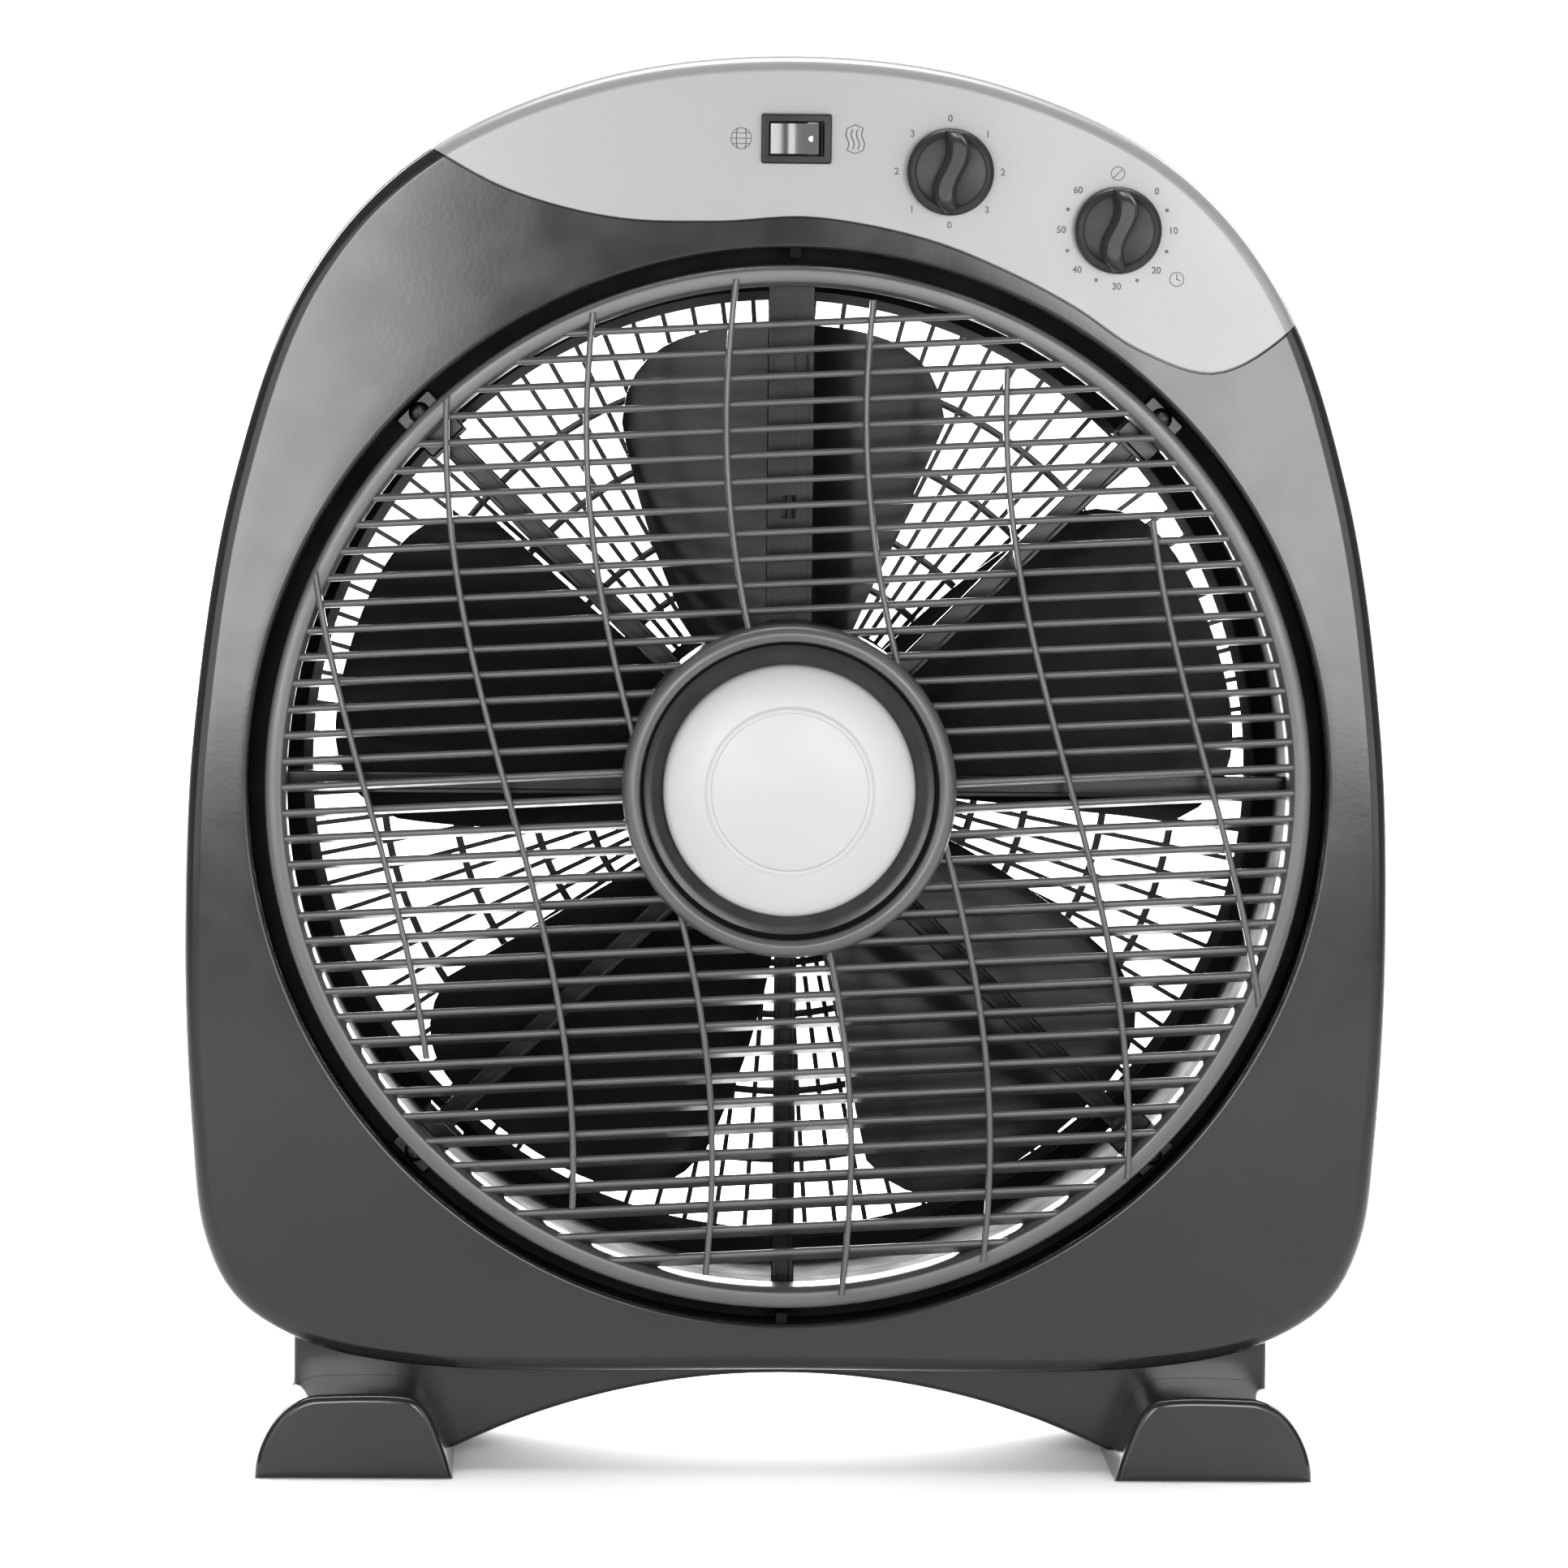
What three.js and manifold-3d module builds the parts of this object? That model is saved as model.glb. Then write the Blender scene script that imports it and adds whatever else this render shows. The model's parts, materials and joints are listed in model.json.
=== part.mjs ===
// Box fan with a motor-driven rotating louvre grille, a rotary speed switch,
// a mechanical timer and a rocker switch that starts the grille.
//
// Frame: millimetres, +Z up, the air leaves towards -Y (the front), +X is to the
// right of a person who looks at the front. The origin is on the floor, in the
// middle of the footprint. The fan axis is parallel to Y at height HUB_Z.

import * as THREE from 'three';
import { mergeVertices } from 'three/addons/utils/BufferGeometryUtils.js';
import Module from 'manifold-3d';

const wasm = await Module();
wasm.setup();

// ---------------------------------------------------------------- driving dimensions

const GAP = 0.35; // clearance between pieces that touch
const HUB_Z = 212; // height of the fan axis

// Depths along Y.
const FRONT_Y = -48; // flat face of the front shell
const SPLIT_Y = -2; // joint between the front and the rear shell
const BACK_Y = 46; // flat back of the rear shell
const WALL = 3; // wall of the two shells

// Right half of the body outline, from the crown down to the middle of the
// underside: x and height above the fan axis.
const OUTLINE_POINTS = [
  [0, 225], [61.7, 217.3], [116.1, 192.5], [149.3, 155.2], [171.6, 92.9],
  [183.2, 17.7], [185.9, -45], [183.4, -108.4], [179.4, -140], [169.8, -159],
  [150, -172], [117, -179.7], [0, -181],
];
const OUTLINE_STEPS = 52; // facets round the body
const FRONT_FILLET = 7;
const BACK_FILLET = 10;

// Lower edge of the light control panel, from the left joint to the right one.
const PANEL_EDGE_POINTS = [
  [-125, 205], [-110.8, 195.7], [-87.2, 183.3], [-55.6, 175.2], [-23.8, 174.2],
  [5.3, 175.7], [40.4, 169.4], [66.7, 159.2], [86.5, 148.9], [106.2, 136.1],
  [129.8, 129.1], [150.6, 140.3], [166, 160],
];
const PANEL_THICKNESS = 2.2;
const PANEL_TOP = 240; // anything above the crown

// Round opening and air tunnel, radii about the fan axis.
const MOUTH_R = 166.4; // opening in the front face
const TUNNEL_R = 158; // inside of the air tunnel
const TUNNEL_WALL = 3;
const SHELF_Y = -31; // front of the ledge behind the rotating grille
const ROUND_STEPS = 48; // facets of the big circles

// Pedestal and feet.
const PEDESTAL_HALF = 152;
const PEDESTAL_FRONT_Y = -28;
const PEDESTAL_BOTTOM_Z = 3.4;
const ARCH_HALF = 102;
const ARCH_RISE = 23.8;
const FOOT_DEPTH = 136;
const FOOT_HEIGHT = 26;
const FOOT_INNER_X = 102;
const FOOT_OUTER_X = 162.8;
const FOOT_SCREW_X = 131;
const FOOT_SCREW_YS = [-14, 32];
const FOOT_BOSS_R = 5.5;
const FOOT_BOSS_HEIGHT = 14;

// Rotating louvre grille.
const GRILLE_OUTER_R = 161.2;
const GRILLE_INNER_R = 154.6;
const GRILLE_FRONT_Y = -50;
const GRILLE_BACK_Y = -37;
const GRILLE_REST_TURN = 3; // degrees that the slats stand off level at rest
const SLAT_PITCH = 7.95;
const SLAT_FRONT_Y = -49.2;
const SLAT_DEPTH = 10;
const SLAT_THICKNESS = 2.1;
const SLAT_TILT_MIDDLE = 12; // back edge down, degrees
const SLAT_TILT_CHANGE = 11; // added from the middle to the lowest slat
const RIB_PITCH = 43;
const RIB_COUNT = 7;
const RIB_WIDTH = 2;
const RIB_PROUD = 1.6; // how far the ribs stand out in front of the rim
const RIB_SWAY = 15.5; // how far the S-shaped ribs lean out
const RIB_SWAY_UP = 108; // height above the axis where they lean out furthest
const RIB_SWAY_FADE = 0.18; // part of the lean that is lost again at the rim
const HUB_RING_R = 51.4;
const HUB_RING_INNER_R = 45.9;
const HUB_FRONT_Y = -58;
const HUB_DISC_Y = [-50, -47.4]; // front and back of the disc inside the hub ring
const CAP_R = 38.8;

// Bracket that carries the grille motor in front of the impeller.
const BRACKET_FRONT_Y = -31;
const BRACKET_BACK_Y = -25;
const BRACKET_DISC_R = 40;
const ARM_END_R = TUNNEL_R - 0.8;
const PAD_FRONT_Y = -34; // screw pads on the diagonal arms
const PAD_HALF = 7;
const PAD_R = [150, 165.5]; // inner and outer end of a pad
const PAD_NECK_R = [148, 156.8]; // step that joins a pad to its arm
const BRACKET_SCREW_CIRCLE_R = 162;
const ARM_COUNT = 8;
const ARM_WIDTH = 7;
const DUCT_WIDTH = 14.4;
const DUCT_COVER_R = [40, 155]; // lower and upper end of the cover
const DUCT_SLOTS_UP = [84, 128];
const DUCT_SLOT = [3.2, 5]; // width and height
const DUCT_EXIT_R = 141; // where the lead leaves the channel to the back
const GRILLE_MOTOR_R = 24.5;
const GRILLE_MOTOR_FRONT_Y = -44.5;
const GRILLE_MOTOR_EAR_X = 30;
const GRILLE_SHAFT_R = 3.6;
const LEAD_R = 1.2;
// Route of the grille motor's lead up the duct: depth and height above the axis.
const LEAD_ROUTE = [
  [-29.3, 25.2], [-29.3, 60], [-29.3, 100], [-29, 138], [-26, 149], [-21.5, 155], [-20.5, 162], [-20.5, 172],
];

// Impeller and main motor.
const BLADE_COUNT = 5;
const BLADE_TIP_R = 142;
const BLADE_ROOT_R = 26;
const BLADE_LEADING_TURN = [-37, -25]; // degrees off the blade's middle line, at root and tip
const BLADE_TRAILING_TURN = 23.5;
const BLADE_LEADING_Y = [4, 10]; // at root and tip
const BLADE_TRAILING_Y = -17;
const BLADE_CAMBER = 3.2;
const BLADE_TIP_ROUNDING = 20; // how far the tip falls away at its two corners
const IMPELLER_HUB_R = 29;
const SHAFT_R = 4;
const MOTOR_R = 40;
const MOTOR_FRONT_Y = 7;
const MOTOR_BACK_Y = 42.6;
const MOTOR_SCREW_CIRCLE_R = 30;
const ROTOR_Y = [17, 33];
const BUSH_R = 6.2;
const BUSH_LENGTH = 7;

// Rear grille.
const REAR_GRILLE_R = 157.4;
const REAR_GRILLE_FRONT_Y = 42.8;
const REAR_RIM_INNER_R = 150.7;
const REAR_RING_RADII = [63.3, 79.9, 104.7, 126.7];
const REAR_SPOKES = 24;
const REAR_MAIN_SPOKES = 4; // these are deep enough to carry the rings
const REAR_SPOKE_FRONT_Y = 44.4;
const REAR_DISC_R = 50;
const REAR_SCREW_CIRCLE_R = 154.2;
const REAR_LIP = 3.3; // ledge of the rear shell that the grille rests on

// Carrying recess in the back.
const HANDLE = { halfWidth: 50, bottom: 174.5, top: 205.5, depth: 30 };

// Grommet that the mains lead passes through, low on the back.
const GLAND = { at: [-112, -152], hole: 6, bore: 3.4, flange: 8 };

// Controls: x and height above the fan axis.
const SPEED_AT = [47.5, 190];
const TIMER_AT = [99.1, 172.6];
const ROCKER_AT = [0.4, 199.7];
const KNOB_R = 13.3;
const KNOB_FRONT_Y = -63.5;
const ROCKER_BEZEL = [21.5, 15.3];
const ROCKER_HOLE = [19.4, 13.4];
const ROCKER_TILT = 10; // half of the travel, degrees
const ROCKER_PIVOT_Y = -46;
const CONTROL_HOLE_R = 5.2; // holes in shell and panel for the two bushings
const CONTROL_HOLE_DEPTH = 12;
const BUSHING_R = 4.6;
const CONTROL_SHAFT_R = 2.9;
const SWITCH_HALF = [14, 13]; // half width and half height of the speed switch
const SWITCH_DEPTH = 20;
const TIMER_R = 18;
const TIMER_DEPTH = 30;
const CAPACITOR = { x: [-78, -42], y: [-36, -20], up: [181, 199] };

// Screws: [x, height above the axis] of the six that join the shells.
const SHELL_SCREWS = [
  [-118, 150], [118, 150], [-173, -25], [173, -25], [-136, -141], [136, -141],
];
const SHELL_SCREW_SEAT_Y = 14; // bottom of the deep pockets that hold the heads
const FRONT_POST_R = 5;
const REAR_POST_R = 6.2;
const DIAGONALS = [45, 135, 225, 315]; // degrees, for what is screwed on at four corners
const SCREW_R = 1.7;
const SCREW_HEAD_R = 3.3;
const SCREW_HEAD = 1.8;
const SCREW_HOLE_R = 2.3;
const SCREW_STEPS = 8;

// ---------------------------------------------------------------- materials

const material = (color, roughness, metalness = 0) =>
  new THREE.MeshStandardMaterial({ color, roughness, metalness });

const darkGloss = material(0x4b4b4d, 0.28);
const silverPlastic = material(0xc4c5c6, 0.38);
const whitePlastic = material(0xe6e6e6, 0.42);
const blackPlastic = material(0x19191a, 0.5);
const smokePlastic = material(0x2a2a2b, 0.4);
const steel = material(0x9a9c9e, 0.35, 1);
const bronze = material(0x9c7a45, 0.4, 1);
const copper = material(0x9a5a32, 0.4, 1);
const leadPlastic = material(0x303030, 0.6);

// ---------------------------------------------------------------- solid helpers

// Turns a closed geometry into a solid with its faces pointing out.
function solid(geometry) {
  const bare = geometry.clone();
  bare.deleteAttribute('normal');
  bare.deleteAttribute('uv');
  const merged = mergeVertices(bare, 1e-4);
  const vertProperties = new Float32Array(merged.attributes.position.array);
  const triVerts = new Uint32Array(merged.index.array);
  if (signedVolume(vertProperties, triVerts) < 0) {
    for (let t = 0; t < triVerts.length; t += 3) {
      [triVerts[t + 1], triVerts[t + 2]] = [triVerts[t + 2], triVerts[t + 1]];
    }
  }
  return new wasm.Manifold(new wasm.Mesh({ numProp: 3, vertProperties, triVerts }));
}

function signedVolume(points, triangles) {
  const corner = (i) => new THREE.Vector3().fromArray(points, 3 * triangles[i]);
  let sum = 0;
  for (let t = 0; t < triangles.length; t += 3) {
    sum += corner(t).dot(corner(t + 1).cross(corner(t + 2)));
  }
  return sum / 6;
}

// Turns a solid back into a geometry that a mesh can hold.
function geometryOf(shape) {
  const { vertProperties, triVerts } = shape.getMesh();
  const geometry = new THREE.BufferGeometry();
  geometry.setAttribute('position', new THREE.BufferAttribute(new Float32Array(vertProperties), 3));
  geometry.setIndex(new THREE.BufferAttribute(new Uint32Array(triVerts), 1));
  geometry.computeVertexNormals();
  return geometry;
}

function box(x0, x1, y0, y1, z0, z1) {
  const geometry = new THREE.BoxGeometry(x1 - x0, y1 - y0, z1 - z0);
  return solid(geometry.translate((x0 + x1) / 2, (y0 + y1) / 2, (z0 + z1) / 2));
}

// Cylinder along Y, centred on (x, height above the fan axis).
function rod(radius, y0, y1, [x, up] = [0, 0], steps = ROUND_STEPS) {
  const geometry = new THREE.CylinderGeometry(radius, radius, y1 - y0, steps);
  return solid(geometry.translate(x, (y0 + y1) / 2, HUB_Z + up));
}

// Tube along Y.
function tube(outer, inner, y0, y1, at = [0, 0], steps = ROUND_STEPS) {
  return rod(outer, y0, y1, at, steps).subtract(rod(inner, y0 - 1, y1 + 1, at, steps));
}

// Body of revolution about the fan axis or a parallel one; profile of [radius, y].
function turned(profile, [x, up] = [0, 0], steps = ROUND_STEPS) {
  const points = profile.map(([radius, y]) => new THREE.Vector2(radius, y));
  return solid(new THREE.LatheGeometry(points, steps).translate(x, 0, HUB_Z + up));
}

// Prism along Y over an outline of [x, height above the axis] between y0 and y1,
// with an optional round bevel at both ends.
function prism(outline, y0, y1, bevel = 0, bevelSegments = 2) {
  const shape = new THREE.Shape(outline.map(([x, up]) => new THREE.Vector2(x, up)));
  const geometry = new THREE.ExtrudeGeometry(shape, {
    depth: y1 - y0 - 2 * bevel,
    steps: 1,
    bevelEnabled: bevel > 0,
    bevelThickness: bevel,
    bevelSize: bevel,
    bevelOffset: -bevel,
    bevelSegments,
  });
  return solid(geometry.rotateX(Math.PI / 2).translate(0, y1 - bevel, HUB_Z));
}

// Moves every edge of a closed outline inwards (or outwards when negative).
function inset(outline, distance) {
  const count = outline.length;
  const area = outline.reduce((sum, [x, z], i) => {
    const [nextX, nextZ] = outline[(i + 1) % count];
    return sum + x * nextZ - nextX * z;
  }, 0);
  const side = Math.sign(area);
  return outline.map(([x, z], i) => {
    const before = outline[(i + count - 1) % count];
    const after = outline[(i + 1) % count];
    const inward = (from, to) => new THREE.Vector2(from[1] - to[1], to[0] - from[0]).normalize();
    const first = inward(before, [x, z]);
    const second = inward([x, z], after);
    const middle = first.clone().add(second).normalize();
    const reach = (side * distance) / middle.dot(first);
    return [x + middle.x * reach, z + middle.y * reach];
  });
}

function union(...solids) {
  return solids.reduce((sum, next) => sum.add(next));
}

function turnAbout(shape, degrees, [x, up] = [0, 0]) {
  return shape.translate([-x, 0, -HUB_Z - up]).rotate([0, degrees, 0]).translate([x, 0, HUB_Z + up]);
}

// Point [x, height above the axis] at a radius and an angle clockwise from straight up,
// seen from the front.
function polar(radius, degrees) {
  const angle = THREE.MathUtils.degToRad(degrees);
  return [radius * Math.sin(angle), radius * Math.cos(angle)];
}

// ---------------------------------------------------------------- shared outlines

function bodyOutline() {
  const right = OUTLINE_POINTS.map(([x, up]) => new THREE.Vector3(x, up, 0));
  const left = OUTLINE_POINTS.slice(1, -1).reverse().map(([x, up]) => new THREE.Vector3(-x, up, 0));
  const curve = new THREE.CatmullRomCurve3([...right, ...left], true, 'centripetal');
  return curve.getSpacedPoints(OUTLINE_STEPS).slice(0, -1).map((point) => [point.x, point.y]);
}

function panelRegion(shift) {
  const edge = PANEL_EDGE_POINTS.map(([x, up]) => new THREE.Vector2(x, up + shift));
  const curve = new THREE.SplineCurve(edge).getSpacedPoints(20).map((point) => [point.x, point.y]);
  const side = 220; // anything beyond the widest part of the body
  const outline = [
    [-side, PANEL_TOP], [-side, curve[0][1]], ...curve, [side, curve.at(-1)[1]], [side, PANEL_TOP],
  ];
  return prism(outline, FRONT_Y - 10, SPLIT_Y + 10);
}

function pedestalOutline(grow) {
  const radius = (ARCH_HALF ** 2 + ARCH_RISE ** 2) / (2 * ARCH_RISE);
  const floor = PEDESTAL_BOTTOM_Z - HUB_Z - grow;
  const span = Math.asin(ARCH_HALF / radius);
  const arch = [];
  const steps = 20;
  for (let i = 0; i <= steps; i += 1) {
    const angle = span * ((2 * i) / steps - 1);
    arch.push([radius * Math.sin(angle), floor + ARCH_RISE - radius * (1 - Math.cos(angle))]);
  }
  const side = PEDESTAL_HALF + grow;
  return [[-side, floor], ...arch, [side, floor], [side, -150], [-side, -150]];
}

const body = bodyOutline();

// ---------------------------------------------------------------- fan group

const fan = new THREE.Group();
fan.name = 'box_fan';

function place(name, shape, look) {
  const mesh = new THREE.Mesh(shape.isBufferGeometry ? shape : geometryOf(shape), look);
  mesh.name = name;
  fan.add(mesh);
}

// Pan-head screw along Y. The outer face of its head is at headY, and its tip points
// towards `direction`, +1 or -1 along Y.
function screwAlongY(name, at, headY, length, direction) {
  const profile = [
    [0, 0], [SCREW_HEAD_R, 0], [SCREW_HEAD_R, SCREW_HEAD], [SCREW_R, SCREW_HEAD],
    [SCREW_R, SCREW_HEAD + length], [0, SCREW_HEAD + length],
  ];
  const placed = profile.map(([radius, along]) => [radius, headY + direction * along]);
  place(name, turned(placed, at, SCREW_STEPS), steel);
}

// ---------------------------------------------------------------- housing

const outerFront = prism(body, FRONT_Y, SPLIT_Y + 30, FRONT_FILLET)
  .intersect(box(-250, 250, FRONT_Y - 5, SPLIT_Y, 0, 500));

function frontScrewPosts() {
  return union(...SHELL_SCREWS.map((at) => rod(FRONT_POST_R, FRONT_Y + WALL - 0.3, SPLIT_Y, at, 8)));
}

function controlOpenings() {
  const [rockerX, rockerUp] = ROCKER_AT;
  const [wide, high] = ROCKER_HOLE;
  const rockerHole = box(
    rockerX - wide / 2, rockerX + wide / 2, FRONT_Y - 5, FRONT_Y + CONTROL_HOLE_DEPTH,
    HUB_Z + rockerUp - high / 2, HUB_Z + rockerUp + high / 2,
  );
  const speedHole = rod(CONTROL_HOLE_R, FRONT_Y - 5, FRONT_Y + CONTROL_HOLE_DEPTH, SPEED_AT, 16);
  const timerHole = rod(CONTROL_HOLE_R, FRONT_Y - 5, FRONT_Y + CONTROL_HOLE_DEPTH, TIMER_AT, 16);
  return union(rockerHole, speedHole, timerHole);
}

function makeFrontShell() {
  const underPanel = PANEL_THICKNESS + GAP;
  const seatOutline = inset(body, underPanel);
  const panelSeat = prism(seatOutline, FRONT_Y + underPanel, SPLIT_Y + 30, FRONT_FILLET - underPanel, 1)
    .intersect(box(-250, 250, FRONT_Y - 5, SPLIT_Y, 0, 500));
  const seatedOuter = outerFront.subtract(panelRegion(-GAP / 2)).add(panelSeat);
  const plainHollow = prism(inset(body, WALL), FRONT_Y + WALL, SPLIT_Y + 10);
  const deepHollow = prism(inset(body, WALL + underPanel), FRONT_Y + WALL + underPanel, SPLIT_Y + 10);
  const hollow = plainHollow.subtract(panelRegion(-WALL)).add(deepHollow);
  const mouthTube = rod(MOUTH_R + TUNNEL_WALL, FRONT_Y + 1, SHELF_Y + TUNNEL_WALL);
  const tunnel = rod(TUNNEL_R + TUNNEL_WALL, SHELF_Y, SPLIT_Y);
  const leadHole = box(-3, 3, -24, -17, HUB_Z + TUNNEL_R - 4, HUB_Z + TUNNEL_R + 6);
  let shell = union(seatedOuter.subtract(hollow), mouthTube, tunnel, frontScrewPosts());
  shell = shell.subtract(rod(MOUTH_R, FRONT_Y - 5, SHELF_Y));
  shell = shell.subtract(rod(TUNNEL_R, SHELF_Y - 5, SPLIT_Y + 5));
  for (const at of SHELL_SCREWS) {
    shell = shell.subtract(rod(SCREW_HOLE_R, SPLIT_Y - 14, SPLIT_Y + 1, at, SCREW_STEPS));
  }
  for (const at of bracketScrewPoints()) {
    shell = shell.subtract(rod(SCREW_HOLE_R, SHELF_Y - 1, SHELF_Y + 5, at, SCREW_STEPS));
  }
  return shell.subtract(controlOpenings()).subtract(leadHole);
}

function makeControlPanel() {
  const innerFillet = FRONT_FILLET - PANEL_THICKNESS;
  const inside = prism(inset(body, PANEL_THICKNESS), FRONT_Y + PANEL_THICKNESS, SPLIT_Y + 30, innerFillet, 1);
  const skin = outerFront.subtract(inside).intersect(panelRegion(GAP / 2));
  return skin.subtract(controlOpenings());
}

function makePedestal() {
  const block = prism(pedestalOutline(0), PEDESTAL_FRONT_Y, BACK_Y - 2);
  const hollow = prism(inset(pedestalOutline(0), WALL), PEDESTAL_FRONT_Y + WALL, BACK_Y - 2 - WALL);
  const aboveFront = prism(inset(body, -GAP), FRONT_Y - 5, SPLIT_Y + GAP);
  const roof = prism(inset(body, -GAP - WALL), FRONT_Y - 5, SPLIT_Y + GAP + WALL);
  return { block: block.subtract(aboveFront), hollow: hollow.subtract(roof) };
}

function footScrewHole(x, y) {
  const geometry = new THREE.CylinderGeometry(SCREW_HOLE_R, SCREW_HOLE_R, 12, SCREW_STEPS);
  return solid(geometry.rotateX(Math.PI / 2).translate(x, y, PEDESTAL_BOTTOM_Z + 4));
}

function footScrewBoss(x, y) {
  const geometry = new THREE.CylinderGeometry(FOOT_BOSS_R, FOOT_BOSS_R, FOOT_BOSS_HEIGHT, 8);
  return solid(geometry.rotateX(Math.PI / 2).translate(x, y, PEDESTAL_BOTTOM_Z + FOOT_BOSS_HEIGHT / 2));
}

function eachFootScrew(make) {
  return union(...[-1, 1].flatMap((side) => FOOT_SCREW_YS.map((y) => make(side * FOOT_SCREW_X, y))));
}

function makeRearShell() {
  const rearJointY = SPLIT_Y + GAP;
  const outer = prism(body, SPLIT_Y - 30, BACK_Y, BACK_FILLET)
    .intersect(box(-250, 250, rearJointY, BACK_Y + 5, 0, 500));
  const hollow = prism(inset(body, WALL), SPLIT_Y - 20, BACK_Y - WALL, BACK_FILLET - WALL, 1);
  const pedestal = makePedestal();
  const lipFrontY = REAR_GRILLE_FRONT_Y - GAP - REAR_LIP;
  const tunnel = rod(TUNNEL_R + TUNNEL_WALL, rearJointY, BACK_Y - 1);
  const posts = union(...SHELL_SCREWS.map((at) => rod(REAR_POST_R, rearJointY, BACK_Y - 1, at, 8)));
  const handleBlock = box(
    -HANDLE.halfWidth - WALL, HANDLE.halfWidth + WALL, BACK_Y - HANDLE.depth - WALL, BACK_Y - 1,
    HUB_Z + HANDLE.bottom - WALL, HUB_Z + HANDLE.top + WALL,
  );
  const handlePocket = box(
    -HANDLE.halfWidth, HANDLE.halfWidth, BACK_Y - HANDLE.depth, BACK_Y + 5,
    HUB_Z + HANDLE.bottom, HUB_Z + HANDLE.top,
  );
  let shell = outer.add(pedestal.block).subtract(hollow).subtract(pedestal.hollow);
  shell = union(shell, tunnel, posts, handleBlock, eachFootScrew(footScrewBoss));
  shell = shell.subtract(handlePocket).subtract(eachFootScrew(footScrewHole));
  shell = shell.subtract(rod(TUNNEL_R, SPLIT_Y - 5, lipFrontY));
  shell = shell.subtract(rod(REAR_RIM_INNER_R + 1, lipFrontY - 1, BACK_Y + 1));
  shell = shell.subtract(rod(REAR_GRILLE_R + GAP, REAR_GRILLE_FRONT_Y - GAP, BACK_Y + 1));
  for (const at of SHELL_SCREWS) {
    shell = shell.subtract(rod(SCREW_HEAD_R + 0.9, SHELL_SCREW_SEAT_Y, BACK_Y + 1, at, 8));
    shell = shell.subtract(rod(SCREW_HOLE_R, SPLIT_Y - 1, SHELL_SCREW_SEAT_Y + 1, at, SCREW_STEPS));
  }
  for (const at of rearGrilleScrewPoints()) {
    shell = shell.subtract(rod(SCREW_HOLE_R, lipFrontY - 1, BACK_Y, at, SCREW_STEPS));
  }
  return shell.subtract(rod(GLAND.hole, BACK_Y - 8, BACK_Y + 1, GLAND.at, 16));
}

function makeCordGland() {
  const sleeveR = GLAND.hole - GAP;
  const profile = [
    [GLAND.bore, BACK_Y + 9], [GLAND.bore + 1.6, BACK_Y + 9], [sleeveR - 0.6, BACK_Y + 2],
    [GLAND.flange, BACK_Y + 2], [GLAND.flange, BACK_Y + GAP], [sleeveR, BACK_Y + GAP],
    [sleeveR, BACK_Y - 5], [GLAND.bore, BACK_Y - 5],
    [GLAND.bore, BACK_Y + 9],
  ];
  return turned(profile, GLAND.at, 16);
}

function makeFoot(side) {
  const profile = [
    [FOOT_INNER_X, 0], [FOOT_OUTER_X, 0], [FOOT_OUTER_X - 1, 8], [FOOT_OUTER_X - 4.2, 16],
    [FOOT_OUTER_X - 9.5, 23], [FOOT_OUTER_X - 15, FOOT_HEIGHT], [FOOT_INNER_X + 12, FOOT_HEIGHT],
    [FOOT_INNER_X + 8.5, FOOT_HEIGHT - 2],
    [FOOT_INNER_X + 4.6, 16], [FOOT_INNER_X + 1.5, 6],
  ].map(([x, z]) => [side * x, z - HUB_Z]);
  const block = prism(profile, -FOOT_DEPTH / 2, FOOT_DEPTH / 2);
  const legSpace = prism(pedestalOutline(GAP), PEDESTAL_FRONT_Y - GAP, BACK_Y - 2 + GAP);
  const rearSpace = prism(inset(body, -GAP), SPLIT_Y, BACK_Y + GAP);
  return block.subtract(legSpace).subtract(rearSpace).subtract(footScrewPockets(side));
}

function footScrewPockets(side) {
  const pockets = FOOT_SCREW_YS.map((y) => {
    const shank = new THREE.CylinderGeometry(SCREW_HOLE_R, SCREW_HOLE_R, 20, SCREW_STEPS);
    const head = new THREE.CylinderGeometry(SCREW_HEAD_R + 0.6, SCREW_HEAD_R + 0.6, 4, SCREW_STEPS);
    const x = side * FOOT_SCREW_X;
    return solid(shank.rotateX(Math.PI / 2).translate(x, y, 4))
      .add(solid(head.rotateX(Math.PI / 2).translate(x, y, 0)));
  });
  return union(...pockets);
}

function placeFootScrews() {
  for (const [label, side] of [['left', -1], ['right', 1]]) {
    FOOT_SCREW_YS.forEach((y, index) => {
      const profile = [
        [0, 0.6], [SCREW_HEAD_R, 0.6], [SCREW_HEAD_R, 1.6], [SCREW_R, 1.7], [SCREW_R, 11], [0, 11],
      ].map(([radius, z]) => new THREE.Vector2(radius, z));
      const geometry = new THREE.LatheGeometry(profile, SCREW_STEPS).rotateX(Math.PI / 2);
      place(`foot_screw_${label}_${index + 1}`, solid(geometry.translate(side * FOOT_SCREW_X, y, 0)), steel);
    });
  }
}

// ---------------------------------------------------------------- rear grille

function rearGrilleScrewPoints() {
  return DIAGONALS.map((angle) => polar(REAR_SCREW_CIRCLE_R, angle));
}

function motorScrewPoints() {
  return DIAGONALS.map((angle) => polar(MOTOR_SCREW_CIRCLE_R, angle));
}

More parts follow.
